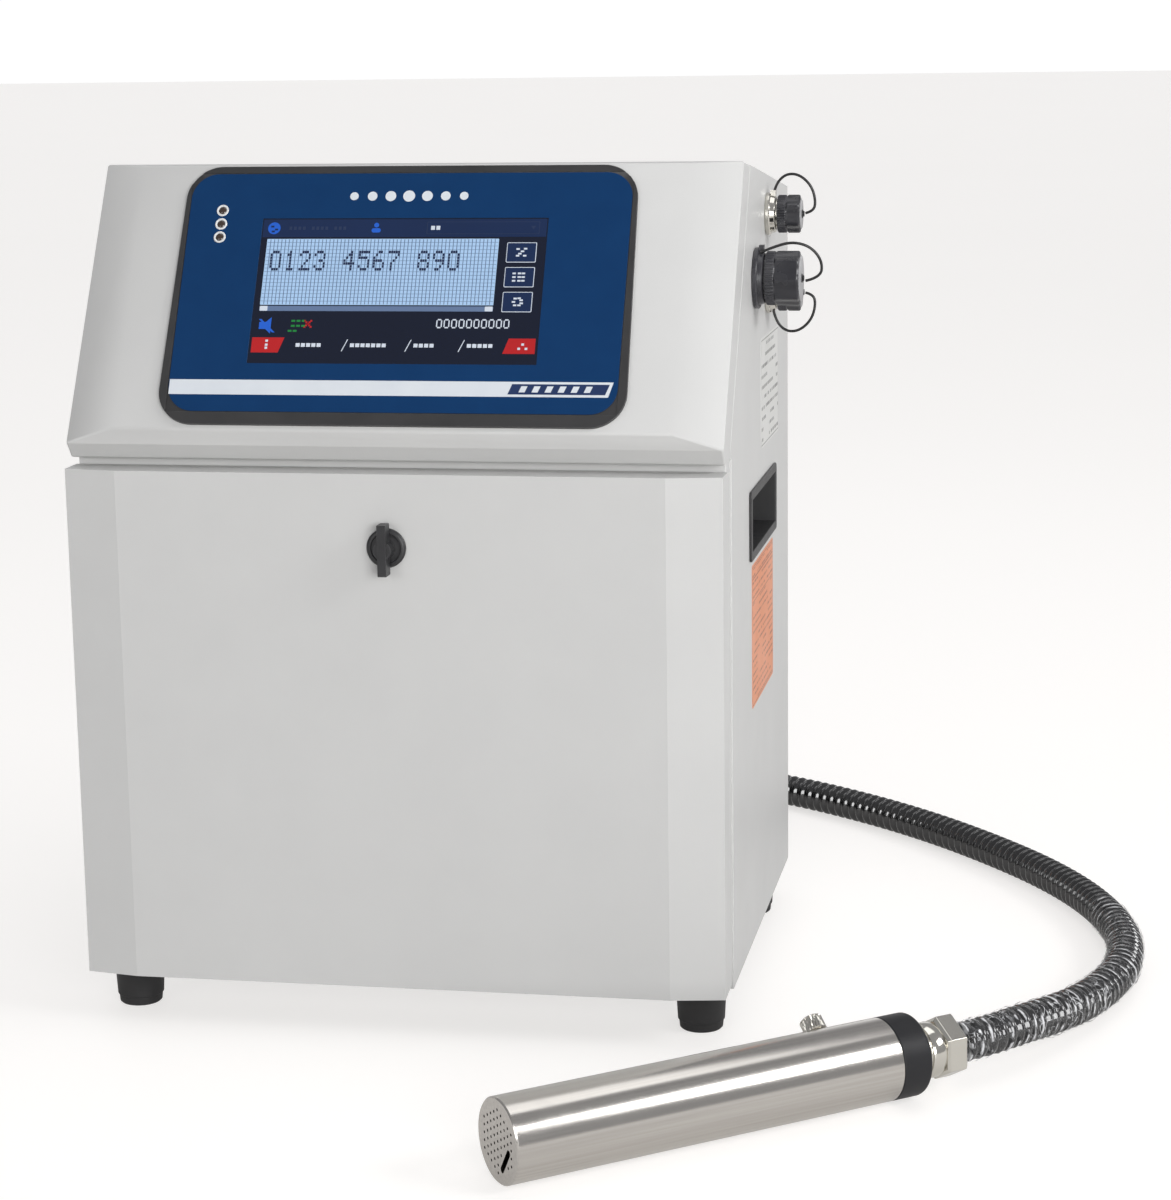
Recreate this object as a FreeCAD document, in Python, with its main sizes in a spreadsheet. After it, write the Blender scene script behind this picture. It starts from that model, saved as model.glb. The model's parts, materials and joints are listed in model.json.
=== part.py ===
"""Date code inkjet printer: a bench cabinet with a hooded console and a print head on its conduit.

Millimetres. X runs across the cabinet, Y from its front to its back and Z up. The origin is on
the floor, at the centre of the four feet. The driving sizes are in the Sizes sheet, and the
places that follow from them are in the Places sheet.
"""
import FreeCAD, Part
import math
import os
import re
import Sketcher

doc = FreeCAD.newDocument("InkjetPrinter")
Vector = FreeCAD.Vector

# ---------------------------------------------------------------------------------- sizes
SIZES = {
    # cabinet
    "case_width": 370,
    "case_depth": 303,
    "front_y": -146,
    "floor_gap": 22.6,
    "panel_wall": 2,
    "shell_setback": 35,
    "top_rear_z": 458.2,
    "rail_z": 325.4,
    "frame_inset": 1,
    "bay_rim_side": 20,
    "bay_bottom_z": 45,
    "bay_top_z": 305,
    "manifold_y": 94,
    "manifold_wall": 3,
    # hood
    "hood_wall": 2.5,
    "hood_back_top_y": 120.8,
    "hood_back_top_z": 480.3,
    "hood_back_low_y": 31,
    "hood_back_low_z": 331,
    "bevel_top_y": 93.6,
    "face_top_y": 78.9,
    "face_top_z": 483.7,
    "face_top_bevel": 28,
    "face_low_y": 2.1,
    "face_low_z": 343.2,
    "face_low_bevel": 29,
    "chin_y": 4,
    "chin_z": 334.2,
    "hood_bottom_y": 10.9,
    # console on the hood's face, measured up the slope from the face's lower edge
    "bezel_low_half": 132,
    "bezel_high_half": 129,
    "bezel_low": 2.5,
    "bezel_high": 158,
    "bezel_thick": 2.4,
    "bezel_corner": 20,
    "overlay_half": 126.5,
    "overlay_low": 10,
    "overlay_high": 153.5,
    "overlay_thick": 0.5,
    "overlay_corner": 15,
    "overlay_fit": 0.4,
    "screen_left": -83,
    "screen_right": 80.5,
    "screen_low": 38.6,
    "screen_high": 126,
    "screen_thick": 1.1,
    "screen_fit": 0.4,
    "module_depth": 8,
    "module_rim": 6,
    "board_thick": 1.6,
    "led_across": -107.3,
    "led_low": 114.6,
    "led_pitch": 8.15,
    "led_ring": 3.4,
    "led_lens": 2.4,
    "led_fit": 0.1,
    # door
    "door_bottom_z": 27.8,
    "door_top_z": 320.5,
    "door_depth": 19.5,
    "door_gap": 1,
    "door_wall": 2.5,
    "door_bevel": 30.5,
    "door_bulge": 5,
    "pivot_y": 12,
    "pivot_z": 34,
    "pivot_pin": 2,
    "pivot_fit": 0.08,
    "pivot_ear_wall": 1.3,
    "pivot_inset": 35,
    "pivot_pin_long": 24,
    "pin_end_play": 0.5,
    "ear_wide": 6,
    "ear_tall": 14,
    "bracket_wide": 6,
    "bracket_foot_wide": 18,
    "bracket_foot_thick": 2,
    "bracket_tall": 16,
    "bracket_arm_tall": 7,
    "bracket_drop": 1.5,
    "door_floor_depth": 10,
    "door_swing_cut": 4.2,
    "gasket_wide": 6,
    # latch
    "latch_z": 280,
    "latch_ring_rim": 6,
    "latch_ring_thick": 2.5,
    "latch_shaft": 5,
    "latch_fit": 0.08,
    "wing_tall": 28.4,
    "wing_thick": 5,
    "wing_out": 12,
    "wing_gap": 0.4,
    "cam_long": 30,
    "cam_wide": 14,
    "cam_thick": 2.5,
    "cam_gap": 1.2,
    # handles
    "handle_low_y": 109,
    "handle_high_y": 230,
    "handle_low_z": 254,
    "handle_high_z": 295,
    "handle_lip": 1.6,
    "handle_flange": 3,
    "handle_depth": 24,
    "handle_wall": 2,
    "handle_fit": 0.3,
    # sockets on the right side
    "large_socket_y": 139,
    "large_socket_z": 415,
    "large_flange_rim": 4.5,
    "large_thread": 13,
    "large_cap_wall": 2.6,
    "large_reach": 27,
    "small_socket_y": 195,
    "upper_socket_z": 448,
    "lower_socket_z": 402,
    "small_flange_rim": 3.5,
    "small_thread": 9,
    "small_cap_wall": 2.2,
    "small_reach": 21,
    "socket_flange_thick": 3,
    "socket_step": 2,
    "cap_gap": 4,
    "cap_end": 3,
    "cap_fit": 0.08,
    "cap_button": 2.6,
    "cap_button_tall": 1.5,
    "cap_flute": 1.6,
    "cap_flutes": 12,
    "lanyard_thick": 1.6,
    # labels
    "label_thick": 0.3,
    "data_label_y": 120,
    "data_label_z": 165,
    "data_label_long": 100,
    "data_label_tall": 85,
    "notice_label_y": 165,
    "notice_label_z": 312,
    "notice_label_long": 85,
    "notice_label_tall": 65,
    # feet and screws
    "foot_side_inset": 18.6,
    "foot_front_inset": 34,
    "foot_back_inset": 45,
    "foot_top": 14.5,
    "foot_bottom": 12.3,
    "foot_bore": 2.6,
    "foot_screw": 2.5,
    "foot_recess": 9,
    "foot_head_tall": 3,
    "back_screw": 3,
    "back_screw_tall": 1.8,
    "back_screw_side": 8,
    "back_screw_end": 10,
    # inside
    "shelf_thick": 2,
    "standoff": 10,
    "standoff_radius": 3,
    "board_x": -62,
    "board_setback": 176,
    "board_wide": 200,
    "board_deep": 137,
    "board_edge": 6,
    "supply_x": -168,
    "supply_setback": 190,
    "supply_wide": 98,
    "supply_deep": 160,
    "supply_tall": 40,
    "terminals_inset": 8,
    "terminals_lift": 4,
    "terminals_wide": 60,
    "terminals_deep": 12,
    "terminals_tall": 14,
    "fan_frame_wall": 2,
    "fan_thick": 20,
    "fan_x": 100,
    "fan_z": 398,
    "fan_bore": 28,
    "fan_hub": 11,
    "fan_tip_gap": 0.8,
    "fan_blade": 1.6,
    "fan_blades": 7,
    "fan_pitch": 3,
    "fan_motor_long": 5,
    "fan_strut_wide": 4,
    "fan_strut_deep": 3,
    "fan_rotor_gap": 0.3,
    "fan_rear_gap": 2,
    "guard_wire": 1,
    "guard_pitch": 8,
    "tray_x": -170,
    "tray_wide": 190,
    "tray_deep": 104,
    "tray_tall": 10,
    "tray_wall": 2,
    "bottle_wide": 66,
    "bottle_deep": 90,
    "bottle_tall": 150,
    "bottle_neck": 14,
    "bottle_neck_tall": 14,
    "bottle_cap_rim": 4,
    "bottle_cap_tall": 18,
    "bottle_cap_fit": 0.08,
    "bottle_cap_gap": 0.4,
    "bottle_top_gap": 0.3,
    "bottle_corner": 8,
    "bottle_y": -28,
    "ink_x": -118,
    "solvent_x": -34,
    "pump_x": 98,
    "pump_front": -20,
    "pump_wide": 64,
    "pump_deep": 70,
    "pump_tall": 44,
    "motor_radius": 27,
    "motor_tall": 76,
    "motor_cap_radius": 20,
    "motor_cap_tall": 8,
    "port_radius": 5,
    "port_across": 20,
    "port_long": 12,
    "port_lift": 30,
    "valves_x": 30,
    "valves_z": 190,
    "valves_wide": 130,
    "valves_deep": 26,
    "valves_tall": 44,
    "valve_radius": 11,
    "valve_long": 30,
    "valve_pitch": 31,
    "valve_first": 18,
    "valve_lift": 22,
    "filter_x": 36,
    "filter_z": 70,
    "filter_radius": 20,
    "filter_tall": 76,
    "filter_offset": 21,
    "filter_clamp_wide": 24,
    "filter_clamp_deep": 12,
    "filter_clamp_tall": 16,
    "filter_clamp_lift": 26,
    "filter_spout_tall": 10,
    "hose": 2.5,
    # back
    "inlet_x": 110,
    "inlet_z": 75,
    "inlet_wide": 30,
    "inlet_tall": 24,
    "inlet_deep": 18,
    "rocker_radius": 9,
    "rocker_wide": 12,
    "rocker_fit": 0.3,
    "rocker_step": 3,
    "inlet_margin": 8,
    "inlet_flange": 4,
    "inlet_flange_thick": 2.5,
    "inlet_fit": 0.2,
    "inlet_side_wall": 2.5,
    "inlet_top_wall": 3,
    "blade_pitch": 7,
    "blade_thick": 2,
    "blade_wide": 4,
    "blade_long": 11,
    "gland_x": -75,
    "gland_z": 85,
    "gland_hex": 17,
    "gland_hex_long": 8,
    "gland_locknut_long": 5,
    "gland_wall": 4,
    "gland_reach": 30,
    # print head, measured along its own axis from its front face
    "head_x": 100.5,
    "head_y": -354.2,
    "head_turn": 38.86,
    "head_radius": 22.2,
    "head_wall": 1.5,
    "head_cover_long": 226,
    "head_end_thick": 3,
    "head_sleeve_end": 244.6,
    "head_gap": 0.3,
    "head_edge": 0.8,
    "head_sleeve_edge": 1.5,
    "spigot_start": 172,
    "spigot_fit": 0.08,
    "head_gland_long": 27.4,
    "head_hex": 17.5,
    "head_hex_long": 13,
    "deck_half": 14,
    "deck_drop": 10,
    "deck_thick": 4,
    "vent_bore": 0.75,
    "vent_pitch": 4.1,
    "vent_across": 3.65,
    "vent_keep_out": 3,
    "slot_long": 16.5,
    "slot_wide": 3.5,
    "screw_along": 197,
    "screw_tilt": 50,
    "screw_stem": 3,
    "screw_fit": 0.08,
    "screw_knob": 6.3,
    "screw_knob_tall": 9,
    "screw_gap": 0.4,
    "screw_tip_gap": 0.3,
    "knurl": 0.5,
    "knurl_cuts": 24,
    # conduit
    "conduit": 22,
    "coil_x": 35,
    "coil_y": 288,
    "coil_radius": 110,
    "coil_tall": 67,
    "tie_wide": 14,
    "tie_thick": 1.4,
}

PLACES = {
    "half_width": "case_width / 2",
    "inner_half": "half_width - panel_wall",
    "bay_half_width": "half_width - bay_rim_side",
    "door_flat_half": "half_width - door_bevel",
    "face_top_half": "half_width - face_top_bevel",
    "face_low_half": "half_width - face_low_bevel",
    "foot_across": "half_width - foot_side_inset",
    "pivot_x": "half_width - pivot_inset",
    "pivot_ear": "pivot_pin + pivot_ear_wall",
    "latch_ring": "latch_shaft + latch_ring_rim",
    "large_flange": "large_thread + large_flange_rim",
    "large_cap": "large_thread + large_cap_wall",
    "small_flange": "small_thread + small_flange_rim",
    "small_cap": "small_thread + small_cap_wall",
    "fan_size": "2 * fan_bore + 2 * fan_frame_wall",
    "bottle_cap": "bottle_neck + bottle_cap_rim",
    "back_y": "front_y + case_depth",
    "back_inner_y": "back_y - panel_wall",
    "foot_front_y": "front_y + foot_front_inset",
    "foot_back_y": "back_y - foot_back_inset",
    "shell_y": "front_y + shell_setback",
    "base_top": "floor_gap + panel_wall",
    "door_back_y": "front_y + door_depth",
    "frame_y": "door_back_y + door_gap",
    "frame_depth": "shell_y - frame_y",
    "shelf_top": "rail_z + shelf_thick",
    "axle_y": "front_y + pivot_y",
    "top_rear_under_z": "top_rear_z - panel_wall",
    "hood_top_y": "front_y + hood_back_top_y",
    "hood_rear_y": "front_y + hood_back_low_y",
    "glass_top": "bezel_thick - overlay_thick",
    "glass_back": "glass_top - screen_thick",
    "skin_out_y": "front_y - door_bulge",
    "skin_in_y": "skin_out_y + door_wall",
    "cam_y": "shell_y + cam_gap",
    "spigot_radius": "head_radius - head_wall - spigot_fit",
    "sleeve_start": "head_cover_long + head_gap",
    "conduit_radius": "conduit / 2",
    "bottle_bottom": "base_top + 2",
    "fan_y": "back_inner_y - fan_thick",
    "board_z": "shelf_top + standoff",
    "board_back": "back_y - board_setback + board_deep",
    "tray_y": "bottle_y - tray_deep / 2",
    "inlet_low_x": "inlet_x - inlet_wide / 2",
    "inlet_all_wide": "inlet_wide + rocker_wide + inlet_margin",
    "rocker_x": "inlet_x + inlet_wide / 2 + rocker_step",
    "handle_mid_y": "front_y + (handle_low_y + handle_high_y) / 2",
    "handle_mid_z": "(handle_low_z + handle_high_z) / 2",
    "handle_long": "handle_high_y - handle_low_y",
    "handle_tall": "handle_high_z - handle_low_z",
}

HOME = {**dict.fromkeys(SIZES, "Sizes."), **dict.fromkeys(PLACES, "Places.")}


def formula(text, own=""):
    """Return a sheet formula with each name led by the sheet that holds it, except for own."""

    def led(word):
        home = HOME.get(word[0], "")
        return word[0] if home == own else home + word[0]

    return re.sub(r"[a-z_][a-z_0-9]*", led, str(text))


def fill(name, rows, own=""):
    """Make a sheet with a title and an alias in each row, and recompute it row by row."""
    sheet = doc.addObject("Spreadsheet::Sheet", name)
    for row, (alias, content) in enumerate(rows, 1):
        sheet.set(f"A{row}", alias)
        sheet.set(f"B{row}", content)
        sheet.setAlias(f"B{row}", alias)
        if own:
            doc.recompute()
    doc.recompute()
    return sheet


sizes = fill("Sizes", [(alias, str(number)) for alias, number in SIZES.items()])
places = fill("Places", [(alias, "=" + formula(text, "Places.")) for alias, text in PLACES.items()],
              own="Places.")


def size(alias):
    """Return the number that a sheet holds under alias."""
    return float((sizes if alias in SIZES else places).get(alias))


# ---------------------------------------------------------------------------------- helpers
TURN = {
    "X": FreeCAD.Rotation(Vector(0, 1, 0), 90),
    "Y": FreeCAD.Rotation(Vector(1, 0, 0), -90),
    "Z": FreeCAD.Rotation(),
}


def bind(thing, **formulas):
    """Bind each named property of thing to a formula; at takes three for its place."""
    for axis, text in zip("xyz", formulas.pop("at", ())):
        thing.setExpression(f"Placement.Base.{axis}", formula(text))
    for prop, text in formulas.items():
        thing.setExpression(prop, formula(text))
    return thing


def block(name, low, span):
    """Box from its low corner and its three spans, all formulas."""
    thing = doc.addObject("Part::Box", name)
    return bind(thing, Length=span[0], Width=span[1], Height=span[2], at=low)


def rod(name, radius, long, at, axis="Z"):
    """Cylinder along a row axis, from the centre of its first end."""
    thing = doc.addObject("Part::Cylinder", name)
    thing.Placement.Rotation = TURN[axis]
    return bind(thing, Radius=radius, Height=long, at=at)


def cone(name, low_radius, high_radius, long, at, axis="Z"):
    """Cone or taper along a row axis, from the centre of its first end."""
    thing = doc.addObject("Part::Cone", name)
    thing.Placement.Rotation = TURN[axis]
    return bind(thing, Radius1=low_radius, Radius2=high_radius, Height=long, at=at)


def nut(name, reach, long, at, axis="Z"):
    """Hexagonal prism along a row axis, with reach from its axis to a corner."""
    thing = doc.addObject("Part::Prism", name)
    thing.Polygon = 6
    thing.Placement.Rotation = TURN[axis]
    return bind(thing, Circumradius=reach, Height=long, at=at)


def fused(name, shapes):
    """One solid from several that touch or overlap."""
    thing = doc.addObject("Part::MultiFuse", name)
    thing.Shapes = shapes
    return thing


def group(name, shapes):
    """Separate solids under one name."""
    thing = doc.addObject("Part::Compound", name)
    thing.Links = shapes
    return thing


def without(name, base, tools):
    """Base with one or more tools cut away."""
    thing = doc.addObject("Part::Cut", name)
    thing.Base = base
    thing.Tool = tools[0] if len(tools) == 1 else fused(name + "Tools", tools)
    return thing


def sketch_on(body, role, start="0"):
    """Empty sketch on one of the body's own origin planes, moved along its normal by start."""
    sketch = body.newObject("Sketcher::SketchObject", body.Name + "Sketch")
    plane = [part for part in body.Origin.OriginFeatures if part.Role == role][0]
    sketch.AttachmentSupport = (plane, [""])
    sketch.MapMode = "FlatFace"
    sketch.setExpression("AttachmentOffset.Base.z", formula(start))
    return sketch


def pin_point(sketch, edge, corner, across, up):
    """Fix one point of an edge at two formulas from the sketch's origin."""
    for kind, text in (("DistanceX", across), ("DistanceY", up)):
        index = sketch.addConstraint(Sketcher.Constraint(kind, -1, 1, edge, corner, 1.0))
        sketch.setExpression(f"Constraints[{index}]", formula(text))


def add_corners(sketch, corners):
    """Closed outline of straight lines through corners, each a pair of formulas."""
    first, count = sketch.GeometryCount, len(corners)
    spots = [Vector(math.cos(6.28 * i / count), math.sin(6.28 * i / count), 0) for i in range(count)]
    for index in range(count):
        sketch.addGeometry(Part.LineSegment(spots[index], spots[(index + 1) % count]))
    for index in range(count):
        following = first + (index + 1) % count
        sketch.addConstraint(Sketcher.Constraint("Coincident", first + index, 2, following, 1))
    for index, (across, up) in enumerate(corners):
        pin_point(sketch, first + index, 1, across, up)


def add_rectangle(sketch, low, high):
    """Closed rectangle between two opposite corners."""
    add_corners(sketch, [low, (high[0], low[1]), high, (low[0], high[1])])


def add_circle(sketch, radius, across="0", up="0"):
    """Circle about a point given by two formulas."""
    edge = sketch.addGeometry(Part.Circle(Vector(0, 0, 0), Vector(0, 0, 1), 1.0))
    index = sketch.addConstraint(Sketcher.Constraint("Radius", edge, 1.0))
    sketch.setExpression(f"Constraints[{index}]", formula(radius))
    pin_point(sketch, edge, 3, across, up)


def new_body(name, at=(), rotation=None):
    """Empty PartDesign body, moved by three formulas if given and turned by rotation."""
    body = doc.addObject("PartDesign::Body", name)
    if rotation:
        body.Placement.Rotation = rotation
    return bind(body, at=at)


def pad(body, sketch, long):
    """Add the sketch's outline, drawn out along its normal."""
    feature = body.newObject("PartDesign::Pad", body.Name + "Pad")
    feature.Profile = sketch
    bind(feature, Length=long)
    sketch.Visibility = False
    return feature


def pocket(body, sketch, deep=None):
    """Cut the sketch's outline: against its normal by deep, or right through both ways."""
    feature = body.newObject("PartDesign::Pocket", body.Name + "Pocket")
    feature.Profile = sketch
    if deep is None:
        feature.Type = "ThroughAll"
        feature.Midplane = True
    else:
        bind(feature, Length=deep)
    return feature


def round_edges(body, feature, radius, direction):
    """Fillet every straight edge of feature that runs along direction."""
    doc.recompute()
    names = []
    for index, edge in enumerate(feature.Shape.Edges, 1):
        run = edge.Vertexes[-1].Point - edge.Vertexes[0].Point
        if run.Length > 1e-6 and abs(run.normalize().dot(direction)) > 0.9999:
            names.append(f"Edge{index}")
    fillet = body.newObject("PartDesign::Fillet", body.Name + "Fillet")
    fillet.Base = (feature, names)
    return bind(fillet, Radius=radius)


def turned(name, corners, at=("0", "0", "0"), axis="Z"):
    """Turned piece: an outline of (radius, along) formulas revolved about a row axis."""
    body = new_body(name, at, TURN[axis])
    sketch = sketch_on(body, "XZ_Plane")
    add_corners(sketch, corners)
    feature = body.newObject("PartDesign::Revolution", name + "Turn")
    feature.Profile = sketch
    feature.ReferenceAxis = (sketch, ["V_Axis"])
    feature.Angle = 360
    return body


def shaped(name, shape, placement=None):
    """Piece whose shape is worked out in code."""
    thing = doc.addObject("Part::Feature", name)
    thing.Shape = shape
    if placement:
        thing.Placement = placement
    return thing


NODES = {}


def node(name, thing):
    """Name thing as one sub-part of the printer."""
    thing.Label = name
    NODES[name] = thing
    return thing


def rounded_path(points):
    """Wire of straight runs joined by tangent arcs, each as large as its two runs allow."""
    spots = [Vector(*point) for point in points]
    edges, start, radii = [], spots[0], []
    for before, corner, after in zip(spots, spots[1:], spots[2:]):
        back, ahead = before - corner, after - corner
        shorter = min(back.Length, ahead.Length)
        back.normalize()
        ahead.normalize()
        half_turn = (math.pi - back.getAngle(ahead)) / 2
        radius = 0.45 * shorter / math.tan(half_turn)
        setback = 0.45 * shorter
        middle = (back + ahead).normalize() * (radius / math.cos(half_turn) - radius)
        first, last = corner + back * setback, corner + ahead * setback
        edges.append(Part.LineSegment(start, first).toShape())
        edges.append(Part.Arc(first, corner + middle, last).toShape())
        start = last
        radii.append(radius)
    edges.append(Part.LineSegment(start, spots[-1]).toShape())
    return Part.Wire(edges), radii


def tube(name, points, radius):
    """Round solid along a route of points, checked against its section times its length."""
    wire, radii = rounded_path(points)
    start, ahead = Vector(*points[0]), Vector(*points[1]) - Vector(*points[0])
    section = Part.Wire(Part.makeCircle(radius, start, ahead))
    solid = wire.makePipeShell([section], True, True)
    want = math.pi * radius ** 2 * wire.Length
    print(f"{name}: {wire.Length:.0f} long, volume {solid.Volume / want:.4f} of its section times "
          f"its length, radii {' '.join(f'{r:.0f}' for r in radii)}")
    return solid


# ---------------------------------------------------------------------------------- cabinet
def side_panel(name, side):
    """Flat side of the cabinet with its handle opening; side is 1 right or -1 left."""
    body = new_body(name, ("inner_half" if side > 0 else "-half_width", "front_y", "0"))
    sketch = sketch_on(body, "YZ_Plane")
    add_corners(sketch, [
        ("shell_setback", "floor_gap"),
        ("case_depth", "floor_gap"),
        ("case_depth", "top_rear_z"),
        ("hood_back_top_y", "hood_back_top_z"),
        ("hood_back_low_y", "hood_back_low_z"),
        ("shell_setback", "rail_z"),
    ])
    pad(body, sketch, "panel_wall")
    holes = sketch_on(body, "YZ_Plane")
    inset = "handle_flange"
    add_rectangle(holes, (f"handle_low_y + {inset}", f"handle_low_z + {inset}"),
                  (f"handle_high_y - {inset}", f"handle_high_z - {inset}"))
    if side > 0:
        add_circle(holes, "large_thread - socket_step", "large_socket_y", "large_socket_z")
        for height in ("upper_socket_z", "lower_socket_z"):
            add_circle(holes, "small_thread - socket_step", "small_socket_y", height)
    pocket(body, holes)
    return node(name, body)


def base_plate():
    """Floor of the cabinet, with a hole over each foot."""
    body = new_body("base_plate", ("0", "0", "floor_gap"))
    sketch = sketch_on(body, "XY_Plane")
    add_rectangle(sketch, ("-inner_half", "shell_y"), ("inner_half", "back_inner_y"))
    pad(body, sketch, "panel_wall")
    holes = sketch_on(body, "XY_Plane")
    for across in ("-foot_across", "foot_across"):
        for along in ("foot_front_y", "foot_back_y"):
            add_circle(holes, "foot_bore", across, along)
    pocket(body, holes)
    node("base_plate", body)


def top_panel():
    """Top of the cabinet, falling to the back."""
    body = new_body("top_panel", ("-inner_half", "front_y", "0"))
    sketch = sketch_on(body, "YZ_Plane")
    add_corners(sketch, [
        ("hood_back_top_y", "hood_back_top_z - panel_wall"),
        ("case_depth", "top_rear_z - panel_wall"),
        ("case_depth", "top_rear_z"),
        ("hood_back_top_y", "hood_back_top_z"),
    ])
    pad(body, sketch, "2 * inner_half")
    node("top_panel", body)


def back_panel():
    """Back of the cabinet, with its fan, mains and conduit openings."""
    body = new_body("back_panel", ("0", "back_y", "0"))
    sketch = sketch_on(body, "XZ_Plane")
    add_rectangle(sketch, ("-inner_half", "floor_gap"), ("inner_half", "top_rear_under_z"))
    pad(body, sketch, "panel_wall")
    holes = sketch_on(body, "XZ_Plane")
    add_circle(holes, "fan_bore", "fan_x", "fan_z")
    add_circle(holes, "conduit_radius - 1", "gland_x", "gland_z")
    add_rectangle(holes, ("inlet_low_x", "inlet_z - inlet_tall / 2"),
                  ("inlet_low_x + inlet_all_wide", "inlet_z + inlet_tall / 2"))
    pocket(body, holes)
    node("back_panel", body)


def front_frame():
    """Frame round the service bay, behind the door."""
    body = new_body("front_frame", ("0", "shell_y", "0"))
    sketch = sketch_on(body, "XZ_Plane")
    add_rectangle(sketch, ("-half_width + frame_inset", "base_top"),
                  ("half_width - frame_inset", "rail_z"))
    pad(body, sketch, "frame_depth")
    opening = sketch_on(body, "XZ_Plane")
    add_rectangle(opening, ("-bay_half_width", "bay_bottom_z"), ("bay_half_width", "bay_top_z"))
    pocket(body, opening)
    node("front_frame", body)


def inner_plates():
    """Shelf between the two bays, and the plate that carries the fluid parts."""
    node("mid_shelf", block("mid_shelf", ("-inner_half", "shell_y", "rail_z"),
                            ("2 * inner_half", "back_inner_y - shell_y", "shelf_thick")))
    node("manifold_plate", block("manifold_plate", ("-inner_half", "manifold_y", "base_top"),
                                 ("2 * inner_half", "manifold_wall", "rail_z - base_top")))


def hood_form(inset, past):
    """Faceted body of the hood, inset from its outside by inset and run on backwards by past."""
    front = size("front_y")
    slope = (size("face_top_y") - size("face_low_y")) / (size("face_top_z") - size("face_low_z"))
    lean = inset * math.hypot(1, slope)
    half = size("half_width") - inset
    corners = {
        "back_top": (half, size("hood_back_top_y") + past, size("hood_back_top_z") - inset),
        "bevel_top": (half, size("bevel_top_y") + lean, size("face_top_z") - inset),
        "face_top": (size("face_top_half") - inset / 2, size("face_top_y") + lean - slope * inset,
                     size("face_top_z") - inset),
        "face_low": (size("face_low_half") - inset / 2, size("face_low_y") + lean,
                     size("face_low_z")),
        "chin": (half, size("chin_y") + lean, size("chin_z") + inset / 2),
        "bottom": (half, size("hood_bottom_y") + inset / 2, size("rail_z") + inset),
        "back_low": (half, size("shell_setback") + past, size("rail_z") + inset),
        "back_notch": (half, size("hood_back_low_y") + past, size("hood_back_low_z")),
    }
    right = {name: Vector(x, front + y, z) for name, (x, y, z) in corners.items()}
    left = {name: Vector(-spot.x, spot.y, spot.z) for name, spot in right.items()}
    across = [("back_top", "bevel_top"), ("bevel_top", "face_top"), ("face_top", "face_low"),
              ("face_low", "chin"), ("chin", "bottom"), ("bottom", "back_low"),
              ("back_low", "back_notch"), ("back_notch", "back_top")]
    flats = [[right[a], right[b], left[b], left[a]] for a, b in across]
    outline = ["back_top", "bevel_top", "chin", "bottom", "back_low", "back_notch"]
    for half_hood in (right, left):
        flats.append([half_hood[name] for name in outline])
        flats.append([half_hood[name] for name in ("bevel_top", "face_top", "chin")])
        flats.append([half_hood[name] for name in ("face_top", "face_low", "chin")])
    faces = [Part.Face(Part.makePolygon(flat + flat[:1])) for flat in flats]
    solid = Part.makeSolid(Part.makeShell(faces))
    if solid.Volume < 0:
        solid.reverse()
    return solid


FACE_TURN = math.degrees(math.atan2(size("face_top_z") - size("face_low_z"),
                                    size("face_top_y") - size("face_low_y")))
FACE = FreeCAD.Placement(
    Vector(0, size("front_y") + size("face_low_y"), size("face_low_z")),
    FreeCAD.Rotation(Vector(1, 0, 0), FACE_TURN))


def on_face(body):
    """Lay a body that is drawn flat on the hood's sloping face."""
    body.Placement = FACE
    return body


def hood():
    """Hollow console cover with an opening behind the screen."""
    wall = size("hood_wall")
    shell = hood_form(0, 0).cut(hood_form(wall, 4 * wall))
    window = Part.makeBox(size("screen_right") - size("screen_left"),
                          size("screen_high") - size("screen_low"), 6 * wall,
                          Vector(size("screen_left"), size("screen_low"), -3 * wall))
    window.Placement = FACE.multiply(window.Placement)
    node("hood", shaped("hood", shell.cut(window)))


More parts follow.
